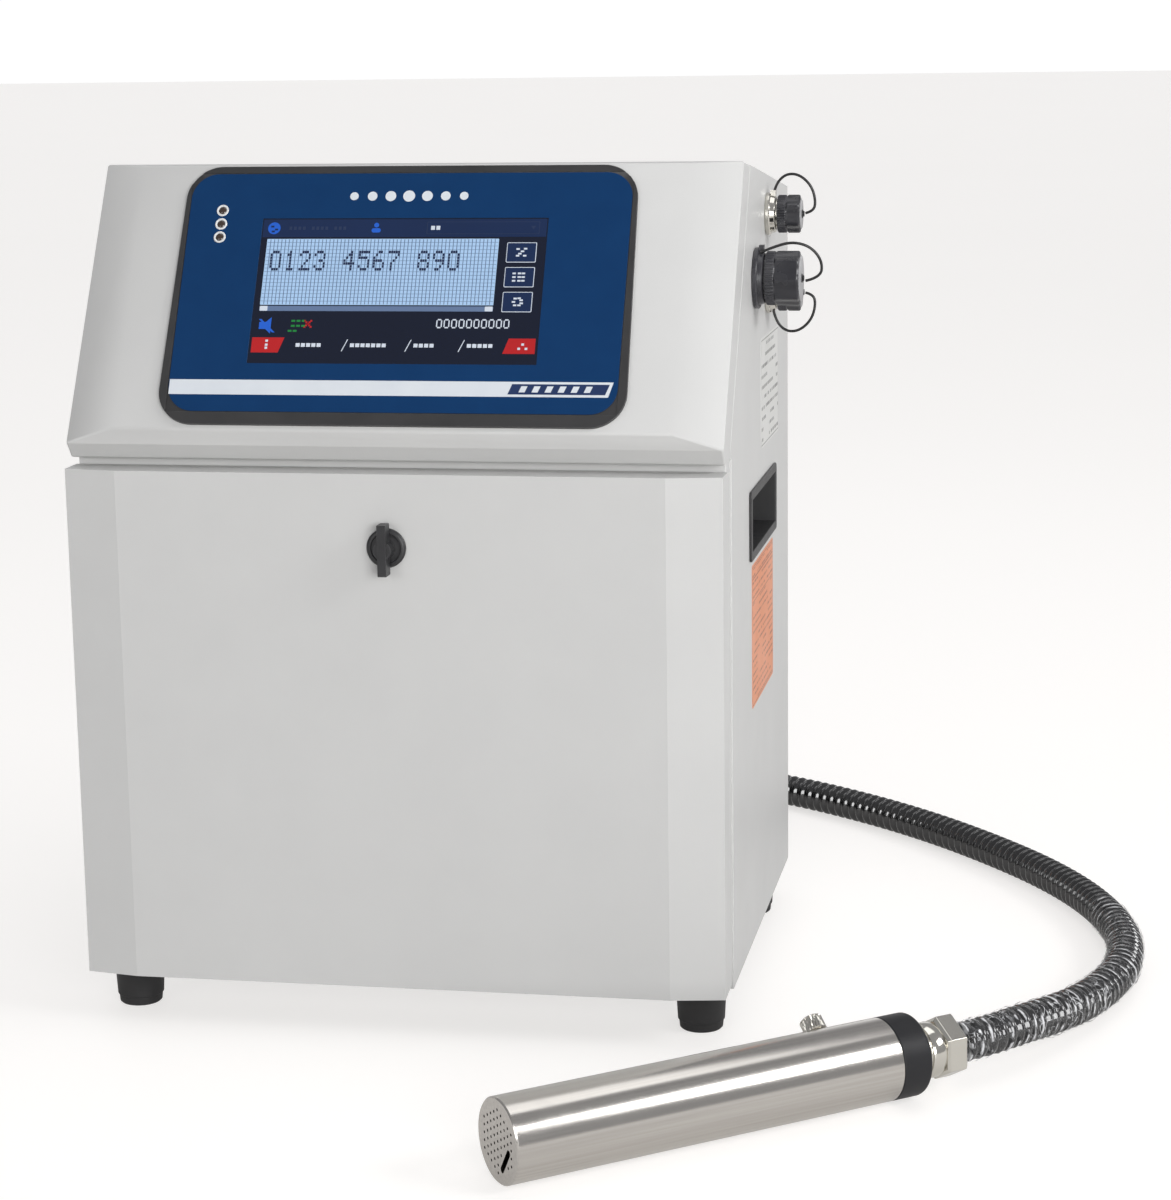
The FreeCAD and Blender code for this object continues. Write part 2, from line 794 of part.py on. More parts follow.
def console():
    """Bezel, overlay, screen and lamps on the hood's face, and the display behind it."""
    leds = [("led_across", f"led_low + {index} * led_pitch") for index in range(3)]
    bezel = new_body("bezel_frame")
    sketch = sketch_on(bezel, "XY_Plane")
    add_corners(sketch, [("-bezel_low_half", "bezel_low"), ("bezel_low_half", "bezel_low"),
                         ("bezel_high_half", "bezel_high"), ("-bezel_high_half", "bezel_high")])
    plate = pad(bezel, sketch, "bezel_thick")
    round_edges(bezel, plate, "bezel_corner", Vector(0, 0, 1))
    recess = sketch_on(bezel, "XY_Plane", "bezel_thick")
    add_rectangle(recess, ("-overlay_half - overlay_fit", "overlay_low - overlay_fit"),
                  ("overlay_half + overlay_fit", "overlay_high + overlay_fit"))
    pocket(bezel, recess, "overlay_thick")
    holes = sketch_on(bezel, "XY_Plane")
    add_rectangle(holes, ("screen_left", "screen_low"), ("screen_right", "screen_high"))
    for across, up in leds:
        add_circle(holes, "led_ring + led_fit", across, up)
    pocket(bezel, holes)
    node("bezel_frame", on_face(bezel))

    overlay = new_body("overlay_panel")
    sketch = sketch_on(overlay, "XY_Plane", "glass_top")
    add_rectangle(sketch, ("-overlay_half", "overlay_low"), ("overlay_half", "overlay_high"))
    sheet = pad(overlay, sketch, "overlay_thick")
    round_edges(overlay, sheet, "overlay_corner", Vector(0, 0, 1))
    holes = sketch_on(overlay, "XY_Plane", "glass_top")
    add_rectangle(holes, ("screen_left", "screen_low"), ("screen_right", "screen_high"))
    for across, up in leds:
        add_circle(holes, "led_ring + led_fit", across, up)
    pocket(overlay, holes)
    node("overlay_panel", on_face(overlay))

    glass = new_body("display_screen")
    sketch = sketch_on(glass, "XY_Plane", "glass_back")
    add_rectangle(sketch, ("screen_left + screen_fit", "screen_low + screen_fit"),
                  ("screen_right - screen_fit", "screen_high - screen_fit"))
    pad(glass, sketch, "screen_thick")
    node("display_screen", on_face(glass))

    module = new_body("display_module")
    sketch = sketch_on(module, "XY_Plane", "-module_depth")
    add_rectangle(sketch, ("screen_left + screen_fit", "screen_low + screen_fit"),
                  ("screen_right - screen_fit", "screen_high - screen_fit"))
    pad(module, sketch, "module_depth + glass_back")
    board = sketch_on(module, "XY_Plane", "-module_depth - board_thick")
    add_rectangle(board, ("screen_left - module_rim", "screen_low - module_rim"),
                  ("screen_right + module_rim", "screen_high + module_rim"))
    pad(module, board, "board_thick")
    posts = sketch_on(module, "XY_Plane", "-module_depth")
    for across in ("screen_left - module_rim / 2", "screen_right + module_rim / 2"):
        for up in ("screen_low - module_rim / 2", "screen_high + module_rim / 2"):
            add_circle(posts, "module_rim / 2", across, up)
    pad(module, posts, "module_depth - hood_wall")
    node("display_module", on_face(module))

    lamps = []
    for index, (across, up) in enumerate(leds):
        spot = (across, up, "0")
        outside = rod(f"LedRing{index}", "led_ring", "bezel_thick + led_fit", spot)
        inside = rod(f"LedBore{index}", "led_lens", "bezel_thick + led_fit", spot)
        lamps.append(without(f"LedCollar{index}", outside, [inside]))
        lamps.append(rod(f"LedLens{index}", "led_lens", "bezel_thick - led_fit", spot))
    node("status_leds", on_face(group("status_leds", lamps)))


# ---------------------------------------------------------------------------------- door
def door_outline(inset, back):
    """Plan of the door, inset by a formula, run to back."""
    return [(f"-half_width + {inset}", back), (f"-half_width + {inset}", f"front_y + {inset}"),
            (f"-door_flat_half + {inset} / 8", f"skin_out_y + {inset}"),
            (f"door_flat_half - {inset} / 8", f"skin_out_y + {inset}"),
            (f"half_width - {inset}", f"front_y + {inset}"), (f"half_width - {inset}", back)]


def door():
    """Hollow drop-down door with its two hinge ears, its seal and its latch plate."""
    pan = new_body("DoorPan")
    sketch = sketch_on(pan, "XY_Plane", "door_bottom_z")
    add_corners(sketch, door_outline("0", "door_back_y"))
    pad(pan, sketch, "door_top_z - door_bottom_z")
    hollow = sketch_on(pan, "XY_Plane", "door_top_z - door_wall")
    add_corners(hollow, door_outline("door_wall", "door_back_y + door_wall"))
    pocket(pan, hollow, "door_top_z - door_bottom_z - 2 * door_wall")
    ears, bores = [], []
    for label, low in (("Left", "-pivot_x - pivot_pin_long / 2"),
                       ("Right", "pivot_x + pivot_pin_long / 2 - ear_wide")):
        ears.append(block(f"DoorEar{label}", (low, "skin_in_y - door_wall / 2", "door_bottom_z + 1"),
                          ("ear_wide", "axle_y - skin_in_y + door_wall / 2 + pivot_ear", "ear_tall")))
        bores.append(rod(f"DoorEarBore{label}", "pivot_pin + pivot_fit", "2 * ear_wide",
                         (f"{low} - ear_wide / 2", "axle_y", "pivot_z"), "X"))
    swing = block("DoorSwing", ("-half_width", "front_y + door_floor_depth", "door_bottom_z"),
                  ("case_width", "door_depth", "door_swing_cut"))
    shaft = rod("DoorLatchBore", "latch_shaft + latch_fit", "3 * door_wall",
                ("0", "skin_out_y - door_wall", "latch_z"), "Y")
    whole = fused("DoorWhole", [pan] + ears)
    node("door", without("door", whole, bores + [swing, shaft]))

    seal = new_body("door_gasket", ("0", "door_back_y", "0"))
    sketch = sketch_on(seal, "XZ_Plane")
    inner = "(door_wall + gasket_wide)"
    add_rectangle(sketch, ("-half_width + door_wall", "door_top_z - door_wall - gasket_wide"),
                  ("half_width - door_wall", "door_top_z - door_wall"))
    pad(seal, sketch, "gasket_wide")
    for side, other in (("-half_width + door_wall", f"-half_width + {inner}"),
                        (f"half_width - {inner}", "half_width - door_wall")):
        strip = sketch_on(seal, "XZ_Plane")
        add_rectangle(strip, (side, "pivot_z + 20"), (other, "door_top_z - door_wall"))
        pad(seal, strip, "gasket_wide")
    node("door_gasket", seal)


def latch():
    """Quarter-turn latch: a plate on the door, and a wing, shaft and cam that turn in it."""
    plate = rod("LatchPlate", "latch_ring", "latch_ring_thick",
                ("0", "skin_out_y - latch_ring_thick", "latch_z"), "Y")
    bore = rod("LatchPlateBore", "latch_shaft + latch_fit", "2 * latch_ring_thick",
               ("0", "skin_out_y - 1.5 * latch_ring_thick", "latch_z"), "Y")
    node("latch_ring", without("latch_ring", plate, [bore]))
    wing = block("LatchWingBlade", ("-wing_thick / 2", "skin_out_y - wing_out",
                                    "latch_z - wing_tall / 2"),
                 ("wing_thick", "wing_out - latch_ring_thick - wing_gap", "wing_tall"))
    shaft = rod("LatchShaft", "latch_shaft", "cam_y + cam_thick + 2 - skin_out_y + wing_out - 1",
                ("0", "skin_out_y - wing_out + 1", "latch_z"), "Y")
    node("latch_wing", fused("latch_wing", [wing, shaft]))
    arm = block("LatchCamArm", ("-cam_wide / 2", "cam_y", "latch_z - cam_wide / 2"),
                ("cam_long + cam_wide / 2", "cam_thick", "cam_wide"))
    hole = rod("LatchCamHole", "latch_shaft", "2 * cam_thick",
               ("0", "cam_y - cam_thick / 2", "latch_z"), "Y")
    node("latch_cam", without("latch_cam", arm, [hole]))


def door_hinges():
    """Two brackets on the frame, each with a pin that the door turns on."""
    brackets = []
    for side, middle in (("Left", "-pivot_x"), ("Right", "pivot_x")):
        low = f"{middle} - bracket_wide / 2"
        foot = block(f"BracketFoot{side}", (f"{middle} - bracket_foot_wide / 2",
                                            "frame_y - bracket_foot_thick", "pivot_z - bracket_drop"),
                     ("bracket_foot_wide", "bracket_foot_thick", "bracket_tall"))
        arm = block(f"BracketArm{side}", (low, "axle_y", "pivot_z - bracket_drop"),
                    ("bracket_wide", "frame_y - axle_y", "bracket_arm_tall"))
        eye = rod(f"BracketEye{side}", "pivot_ear", "bracket_wide", (low, "axle_y", "pivot_z"), "X")
        bore = rod(f"BracketBore{side}", "pivot_pin", "2 * bracket_wide",
                   (f"{middle} - bracket_wide", "axle_y", "pivot_z"), "X")
        brackets.append(without(f"Bracket{side}", fused(f"BracketBody{side}", [foot, arm, eye]),
                                [bore]))
    node("hinge_brackets", group("hinge_brackets", brackets))


# ---------------------------------------------------------------------------------- right side
def handle(name, side):
    """Recessed grip let into one side of the cabinet."""
    body = new_body(name, ("0", "handle_mid_y", "handle_mid_z"),
                    FreeCAD.Rotation(Vector(0, 0, 1), 180) if side < 0 else None)
    half = ("handle_long / 2", "handle_tall / 2")
    tub = ("(handle_flange + handle_fit)", "(handle_flange + handle_fit + handle_wall)")
    lip = sketch_on(body, "YZ_Plane", "half_width")
    add_rectangle(lip, (f"-{half[0]}", f"-{half[1]}"), half)
    flange = pad(body, lip, "handle_lip")
    round_edges(body, flange, "handle_flange", Vector(1, 0, 0))
    outer = sketch_on(body, "YZ_Plane", "half_width - handle_depth")
    add_rectangle(outer, (f"-{half[0]} + {tub[0]}", f"-{half[1]} + {tub[0]}"),
                  (f"{half[0]} - {tub[0]}", f"{half[1]} - {tub[0]}"))
    pad(body, outer, "handle_depth")
    cavity = sketch_on(body, "YZ_Plane", "half_width + handle_lip")
    add_rectangle(cavity, (f"-{half[0]} + {tub[1]}", f"-{half[1]} + {tub[1]}"),
                  (f"{half[0]} - {tub[1]}", f"{half[1]} - {tub[1]}"))
    pocket(body, cavity, "handle_depth + handle_lip - handle_wall")
    node(name, body)


def socket(label, flange, thread, reach, along, height):
    """Fixed shell of one round connector on the right side."""
    spot = (f"front_y + {along}", height)
    plate = rod(f"{label}Flange", flange, "socket_flange_thick", ("half_width", *spot), "X")
    barrel = rod(f"{label}Barrel", thread, f"{reach} - cap_end - 1", ("half_width", *spot), "X")
    neck = rod(f"{label}Neck", f"{thread} - socket_step - 0.1", "panel_wall + 4",
               ("half_width - panel_wall - 4", *spot), "X")
    return fused(f"{label}Shell", [plate, barrel, neck])


def socket_cap(name, thread, cap, reach, along, height):
    """Bayonet cap that turns on a connector's shell, with a button for its lanyard."""
    body = new_body(name, ("half_width", f"front_y + {along}", height))
    start = "(socket_flange_thick + cap_gap)"
    outline = sketch_on(body, "YZ_Plane", start)
    add_circle(outline, cap)
    pad(body, outline, f"{reach} - {start}")
    bore = sketch_on(body, "YZ_Plane", f"{reach} - cap_end")
    add_circle(bore, f"{thread} + cap_fit")
    pocket(body, bore, f"{reach} - cap_end - {start}")
    button = sketch_on(body, "YZ_Plane", reach)
    add_circle(button, "cap_button")
    pad(body, button, "cap_button_tall")
    flute = sketch_on(body, "YZ_Plane", f"{reach} + 1")
    add_circle(flute, "cap_flute", cap, "0")
    groove = pocket(body, flute, f"{reach} - {start}")
    doc.recompute()
    ring = body.newObject("PartDesign::PolarPattern", name + "Flutes")
    ring.Originals = [groove]
    ring.Axis = (flute, ["N_Axis"])
    ring.Angle = 360
    ring.Occurrences = int(size("cap_flutes"))
    body.Tip = ring
    node(name, body)


# a lanyard's points lie out from the cabinet's side, along it and up, from its socket's axis
SMALL_LANYARD = [(4.0, 0.0, -11.0), (5.5, 0.0, -17.5), (11.5, 0.0, -23.5), (19.5, 0.0, -23.0),
                 (26.5, 0.0, -16.5), (29.0, 0.0, -8.0), (28.0, 0.0, -1.5), (23.0, 0.0, -0.4)]
LARGE_LANYARD = [(3.8, -6.0, 15.0), (14.5, -6.0, 19.6), (24.5, -5.5, 21.0), (33.5, -4.0, 17.5),
                 (39.0, -2.0, 9.5), (38.0, -0.5, 0.5), (29.2, 0.0, -1.5)]


def lanyard(name, route, along, height):
    """Thin cord from a connector's flange to the end of its cap, along a route from its axis."""
    start = Vector(size("half_width"), size("front_y") + along, height)
    points = [start + Vector(*point) for point in route]
    node(name, shaped(name, tube(name, points, size("lanyard_thick") / 2)))


def sockets():
    """Three capped connectors on the right side, each cap on its own lanyard."""
    shells = [socket("LargeSocket", "large_flange", "large_thread", "large_reach",
                     "large_socket_y", "large_socket_z")]
    for label, height in (("UpperSocket", "upper_socket_z"), ("LowerSocket", "lower_socket_z")):
        shells.append(socket(label, "small_flange", "small_thread", "small_reach",
                             "small_socket_y", height))
    node("socket_shells", group("socket_shells", shells))
    socket_cap("large_cap", "large_thread", "large_cap", "large_reach",
               "large_socket_y", "large_socket_z")
    for label, way in (("upper", -1), ("lower", 1)):
        socket_cap(f"{label}_cap", "small_thread", "small_cap", "small_reach",
                   "small_socket_y", f"{label}_socket_z")
        route = [(out, along, way * up) for out, along, up in SMALL_LANYARD]
        lanyard(f"{label}_lanyard", route, size("small_socket_y"), size(f"{label}_socket_z"))
    lanyard("large_lanyard", LARGE_LANYARD, size("large_socket_y"), size("large_socket_z"))


def side_labels():
    """Two plain labels stuck to the right side."""
    labels = [block(f"{label}Label", ("half_width", f"front_y + {label}_label_y", f"{label}_label_z"),
                    ("label_thick", f"{label}_label_long", f"{label}_label_tall"))
              for label in ("data", "notice")]
    node("side_labels", group("side_labels", labels))


# ---------------------------------------------------------------------------------- base
def feet():
    """Four tapered rubber feet, and the fasteners."""
    pads, screws = [], []
    corners = [(x, y) for x in ("-foot_across", "foot_across") for y in ("foot_front_y", "foot_back_y")]
    for index, (across, along) in enumerate(corners):
        rubber = cone(f"FootRubber{index}", "foot_bottom", "foot_top", "floor_gap",
                      (across, along, "0"))
        bore = rod(f"FootBore{index}", "foot_bore", "floor_gap", (across, along, "0"))
        recess = rod(f"FootRecess{index}", "2 * foot_bore", "foot_recess", (across, along, "0"))
        pads.append(without(f"Foot{index}", rubber, [bore, recess]))
        shank = rod(f"FootShank{index}", "foot_screw", "base_top - foot_recess",
                    (across, along, "foot_recess"))
        head = rod(f"FootHead{index}", "2 * foot_screw", "foot_head_tall",
                   (across, along, "foot_recess - foot_head_tall"))
        screws.append(fused(f"FootScrew{index}", [shank, head]))
    node("rubber_feet", group("rubber_feet", pads))
    for across in ("-inner_half + back_screw_side", "0", "inner_half - back_screw_side"):
        for up in ("floor_gap + back_screw_end", "top_rear_under_z - back_screw_end"):
            screws.append(rod("BackScrew", "back_screw", "back_screw_tall", (across, "back_y", up), "Y"))
    pin = "pivot_pin_long / 2"
    for low in (f"-pivot_x - {pin} + pin_end_play", f"pivot_x - {pin} + bracket_wide - 2"):
        screws.append(rod("HingePin", "pivot_pin", "pivot_pin_long - ear_wide + 3 * pin_end_play",
                          (low, "axle_y", "pivot_z"), "X"))
    for across in ("board_x + board_edge", "board_x + board_wide - board_edge"):
        for along in ("board_back - board_deep + board_edge", "board_back - board_edge"):
            screws.append(rod("Standoff", "standoff_radius", "standoff", (across, along, "shelf_top")))
    node("fasteners", group("fasteners", screws))


# ---------------------------------------------------------------------------------- inside
# what stands on the main board: across, behind the board's front edge, wide, deep, tall
BOARD_PARTS = {
    "Processor": (0, 26, 30, 30, 3),
    "HeatSink": (70, 76, 40, 34, 16),
    "SideConnectors": (126, 66, 10, 60, 12),
    "DriverChip": (-20, 76, 20, 20, 4),
    "Relay": (-50, 36, 16, 22, 15),
    "CableHeader": (20, 66, 34, 8, 9),
}


def electronics():
    """Power supply and main board on the shelf of the upper bay."""
    supply = block("SupplyCase", ("supply_x", "back_y - supply_setback", "shelf_top"),
                   ("supply_wide", "supply_deep", "supply_tall"))
    strip = block("SupplyTerminals", ("supply_x + terminals_inset",
                                      "back_y - supply_setback - terminals_deep",
                                      "shelf_top + terminals_lift"),
                  ("terminals_wide", "terminals_deep", "terminals_tall"))
    node("power_supply", fused("power_supply", [supply, strip]))
    pieces = [block("BoardPlate", ("board_x", "back_y - board_setback", "board_z"),
                    ("board_wide", "board_deep", "board_thick"))]
    for label, (across, behind, wide, deep, tall) in BOARD_PARTS.items():
        pieces.append(block(label, (across, f"back_y - board_setback + {behind}",
                                    "board_z + board_thick"), (wide, deep, tall)))
    node("main_board", fused("main_board", pieces))


def fan():
    """Cooling fan inside the back panel: its frame, its rotor and its guard outside."""
    frame = block("FanCase", ("fan_x - fan_size / 2", "fan_y", "fan_z - fan_size / 2"),
                  ("fan_size", "fan_thick", "fan_size"))
    bore = rod("FanBore", "fan_bore", "fan_thick + 2", ("fan_x", "fan_y - 1", "fan_z"), "Y")
    ring = without("FanRing", frame, [bore])
    motor = rod("FanMotor", "fan_hub", "fan_motor_long", ("fan_x", "fan_y", "fan_z"), "Y")
    half, long = "(fan_bore + fan_frame_wall / 2)", "2 * fan_bore + fan_frame_wall"
    bars = [block("FanBarAcross", (f"fan_x - {half}", "fan_y", "fan_z - fan_strut_wide / 2"),
                  (long, "fan_strut_deep", "fan_strut_wide")),
            block("FanBarUp", ("fan_x - fan_strut_wide / 2", "fan_y", f"fan_z - {half}"),
                  ("fan_strut_wide", "fan_strut_deep", long))]
    node("fan_housing", fused("fan_housing", [ring, motor] + bars))

    rotor = new_body("fan_rotor", ("fan_x", "fan_y + fan_motor_long + fan_rotor_gap", "fan_z"), TURN["Y"])
    hub = sketch_on(rotor, "XY_Plane")
    add_circle(hub, "fan_hub")
    pad(rotor, hub, "fan_thick - fan_motor_long - fan_rear_gap")
    blade = sketch_on(rotor, "XY_Plane", "1")
    tip = "fan_bore - fan_tip_gap - fan_blade / 4"
    add_corners(blade, [("fan_hub - 2", "-fan_blade"), (tip, "fan_pitch"),
                        (tip, "fan_pitch + fan_blade"), ("fan_hub - 2", "0")])
    vane = pad(rotor, blade, "fan_thick - fan_motor_long - 2 * fan_rear_gap")
    doc.recompute()
    ring = rotor.newObject("PartDesign::PolarPattern", "FanBlades")
    ring.Originals = [vane]
    ring.Axis = (hub, ["N_Axis"])
    ring.Angle = 360
    ring.Occurrences = int(size("fan_blades"))
    rotor.Tip = ring
    node("fan_rotor", rotor)

    wires = []
    for index in range(4):
        middle, start = f"(fan_bore + guard_wire - {index} * guard_pitch)", ("fan_x", "back_y", "fan_z")
        disc = rod(f"GuardDisc{index}", f"{middle} + guard_wire", "2 * guard_wire", start, "Y")
        bore = rod(f"GuardBore{index}", f"{middle} - guard_wire", "2 * guard_wire", start, "Y")
        wires.append(without(f"GuardRing{index}", disc, [bore]))
    reach = size("fan_bore") + 5 * size("guard_wire")
    for index, turn in enumerate((45, 135)):
        bar = doc.addObject("Part::Box", f"GuardBar{index}")
        bar.Placement = FreeCAD.Placement(
            Vector(size("fan_x"), size("back_y"), size("fan_z")),
            FreeCAD.Rotation(Vector(0, 1, 0), turn)).multiply(
                FreeCAD.Placement(Vector(-reach, 0, -size("guard_wire")), FreeCAD.Rotation()))
        bind(bar, Length="2 * fan_bore + 10 * guard_wire", Width="2 * guard_wire",
             Height="2 * guard_wire")
        wires.append(bar)
    node("fan_guard", fused("fan_guard", wires))


def bottle(name, across):
    """Tall fluid bottle with a screwed neck, and the cap that turns on it."""
    body = new_body(name, (across, "bottle_y", "bottle_bottom"))
    outline = sketch_on(body, "XY_Plane")
    add_rectangle(outline, ("-bottle_wide / 2", "-bottle_deep / 2"),
                  ("bottle_wide / 2", "bottle_deep / 2"))
    jug = pad(body, outline, "bottle_tall")
    round_edges(body, jug, "bottle_corner", Vector(0, 0, 1))
    neck = sketch_on(body, "XY_Plane", "bottle_tall")
    add_circle(neck, "bottle_neck")
    pad(body, neck, "bottle_neck_tall")
    node(f"{name}_bottle", body)
    inside, top = "bottle_neck + bottle_cap_fit", "bottle_neck_tall + bottle_top_gap"
    lid = turned(f"{name}_lid", [
        ("0", top), (inside, top), (inside, "bottle_cap_gap"), ("bottle_cap", "bottle_cap_gap"),
        ("bottle_cap", "bottle_cap_tall - 1"), ("bottle_cap - 1", "bottle_cap_tall"),
        ("0", "bottle_cap_tall")],
        (across, "bottle_y", "bottle_bottom + bottle_tall"))
    node(f"{name}_cap", lid)


def fluids():
    """Bottles on their tray, the filter, the pump and the valve block in the service bay."""
    tray = block("TrayOutside", ("tray_x", "tray_y", "base_top"), ("tray_wide", "tray_deep", "tray_tall"))
    inside = block("TrayInside", ("tray_x + tray_wall", "tray_y + tray_wall", "base_top + tray_wall"),
                   ("tray_wide - 2 * tray_wall", "tray_deep - 2 * tray_wall", "tray_tall"))
    node("drip_tray", without("drip_tray", tray, [inside]))
    bottle("ink", "ink_x")
    bottle("solvent", "solvent_x")
    manifold = block("ValveManifold", ("valves_x", "manifold_y - valves_deep", "valves_z"),
                     ("valves_wide", "valves_deep", "valves_tall"))
    coils = [rod(f"ValveCoil{index}", "valve_radius", "valve_long",
                 (f"valves_x + valve_first + {index} * valve_pitch",
                  "manifold_y - valves_deep - valve_long", "valves_z + valve_lift"), "Y")
             for index in range(4)]
    node("valve_block", fused("valve_block", [manifold] + coils))
    spot = ("filter_x", "manifold_y - filter_offset")
    can = rod("FilterCan", "filter_radius", "filter_tall", (*spot, "filter_z"))
    clamp = block("FilterClamp", ("filter_x - filter_clamp_wide / 2", "manifold_y - filter_clamp_deep",
                                  "filter_z + filter_clamp_lift"),
                  ("filter_clamp_wide", "filter_clamp_deep", "filter_clamp_tall"))
    spout = rod("FilterSpout", "port_radius", "filter_spout_tall", (*spot, "filter_z + filter_tall"))
    node("fluid_filter", fused("fluid_filter", [can, clamp, spout]))
    body = block("PumpBlock", ("pump_x - pump_wide / 2", "pump_front", "base_top"),
                 ("pump_wide", "pump_deep", "pump_tall"))
    centre, top = ("pump_x", "pump_front + pump_deep / 2"), "base_top + pump_tall"
    motor = rod("PumpMotor", "motor_radius", "motor_tall", (*centre, top))
    cover = rod("PumpMotorCap", "motor_cap_radius", "motor_cap_tall", (*centre, f"{top} + motor_tall"))
    port = rod("PumpPort", "port_radius", "port_long",
               ("pump_x + port_across", "pump_front - port_long", "base_top + port_lift"), "Y")
    node("pump_unit", fused("pump_unit", [body, motor, cover, port]))


def hoses():
    """Fluid hoses between the bottles, the filter, the pump and the valve block."""
    radius, plate = size("hose"), size("manifold_y")
    pump, bottle_back = size("pump_x"), size("bottle_y") + size("bottle_deep") / 2
    base = size("base_top")
    runs = {
        "filter": [(36, plate - 21, 156), (36, plate - 21, 168), (40, plate - 20, 180),
                   (44, plate - 19, 190)],
        "pump": [(pump + 20, -32, base + 30), (pump + 20, -47, base + 31),
                 (pump + 34, -58, base + 42), (pump + 46, -50, base + 62),
                 (pump + 50, -22, base + 88), (pump + 48, 12, base + 118),
                 (pump + 46, 42, base + 142), (pump + 46, 62, base + 158),
                 (pump + 46, plate - 26, base + 168.5)],
    }
    solids = [tube(f"{label} hose", route, radius) for label, route in runs.items()]
    for label, height in (("ink", 220), ("solvent", 206)):
        start = size(f"{label}_x") + 24
        reach = 30 - start
        route = [(start, bottle_back, 60), (start, bottle_back + 13, 61.5),
                 (start + 2, bottle_back + 27, 72), (start + 0.07 * reach, bottle_back + 38, 94),
                 (start + 0.18 * reach, bottle_back + 46, 124),
                 (start + 0.42 * reach, bottle_back + 52, height - 38),
                 (start + 0.66 * reach, bottle_back + 56, height - 13),
                 (start + 0.84 * reach, bottle_back + 58.5, height - 3),
                 (30, bottle_back + 59, height)]
        solids.append(tube(f"{label} hose", route, radius))
    node("fluid_hoses", shaped("fluid_hoses", Part.makeCompound(solids)))


# ---------------------------------------------------------------------------------- back
def mains():
    """Mains inlet with its rocker switch."""
    low_z = "inlet_z - inlet_tall / 2"
    flange = block("InletFlange", ("inlet_low_x - inlet_flange", "back_y", f"{low_z} - inlet_flange"),
                   ("inlet_all_wide + 2 * inlet_flange", "inlet_flange_thick",
                    "inlet_tall + 2 * inlet_flange"))
    body = block("InletBody", ("inlet_low_x + inlet_fit", "back_inner_y - inlet_deep",
                               f"{low_z} + inlet_fit"),
                 ("inlet_all_wide - 2 * inlet_fit", "inlet_deep + panel_wall",
                  "inlet_tall - 2 * inlet_fit"))
    cavity = block("InletCavity", ("inlet_low_x + inlet_side_wall", "back_y - inlet_deep + panel_wall",
                                   f"{low_z} + inlet_top_wall"),
                   ("inlet_wide - blade_wide", "inlet_deep + panel_wall",
                    "inlet_tall - 2 * inlet_top_wall"))
    well_half = "(rocker_radius + rocker_fit)"
    well = block("RockerWell", ("rocker_x", "back_y + 0.5 - rocker_radius - rocker_fit",
                                f"inlet_z - {well_half}"),
                 ("rocker_wide + 2 * rocker_fit", "2 * rocker_radius", f"2 * {well_half}"))
    blades = [block(f"InletBlade{index}", (f"inlet_x - 2 * blade_wide - 1 + {index} * blade_pitch",
                                           "back_y - inlet_deep + 1.5", "inlet_z - blade_wide / 2"),
                    ("blade_thick", "blade_long", "blade_wide")) for index in range(3)]
    shell = without("InletShell", fused("InletWhole", [flange, body]), [cavity, well])
    node("power_inlet", fused("power_inlet", [shell] + blades))
    drum = rod("RockerDrum", "rocker_radius", "rocker_wide",
               ("rocker_x + rocker_fit", "back_y + 0.5", "inlet_z"), "X")
    dish = rod("RockerDish", "3 * rocker_radius", "2 * rocker_wide",
               ("rocker_x - rocker_wide / 2", "back_y + 3.45 * rocker_radius",
                "inlet_z + 0.6 * rocker_radius"), "X")
    node("power_switch", without("power_switch", drum, [dish]))


def conduit_gland():
    """Cable gland that the conduit leaves the back panel through, with its locknut inside."""
    hexagon = nut("GlandHex", "gland_hex", "gland_hex_long", ("gland_x", "back_y", "gland_z"), "Y")
    collar = rod("GlandCollar", "conduit_radius + gland_wall", "gland_reach - gland_hex_long",
                 ("gland_x", "back_y + gland_hex_long", "gland_z"), "Y")
    locknut = nut("GlandLocknut", "gland_hex - 1", "gland_locknut_long",
                  ("gland_x", "back_inner_y - gland_locknut_long", "gland_z"), "Y")
    neck = rod("GlandNeck", "conduit_radius - 1.1", "panel_wall + 2",
               ("gland_x", "back_inner_y - 1", "gland_z"), "Y")
    node("back_gland", fused("back_gland", [hexagon, collar, locknut, neck]))


# ---------------------------------------------------------------------------------- print head
HEAD = FreeCAD.Placement(
    Vector(size("head_x"), size("head_y"), size("head_radius")),
    FreeCAD.Rotation(Vector(0, 0, 1), size("head_turn")))


SLOT = (-8.0, -7.9)
SLOT_TILT = 123.5
VENT_RINGS = 4
SCREW_LINE = FreeCAD.Placement(Vector(size("screw_along"), 0, 0),
                               FreeCAD.Rotation(Vector(1, 0, 0), -size("screw_tilt")))


def at_head(name, thing):
    """Move a piece that is drawn along X from the head's front face to where the head lies."""
    thing.Placement = HEAD.multiply(thing.Placement)
    return node(name, thing)


def head_along(name, corners):
    """Piece of the head turned about the head's own axis, from (radius, along) formulas."""
    body = new_body(name)
    sketch = sketch_on(body, "XY_Plane")
    add_corners(sketch, [(along, radius) for radius, along in corners])
    feature = body.newObject("PartDesign::Revolution", name + "Turn")
    feature.Profile = sketch
    feature.ReferenceAxis = (sketch, ["H_Axis"])
    feature.Angle = 360
    return body


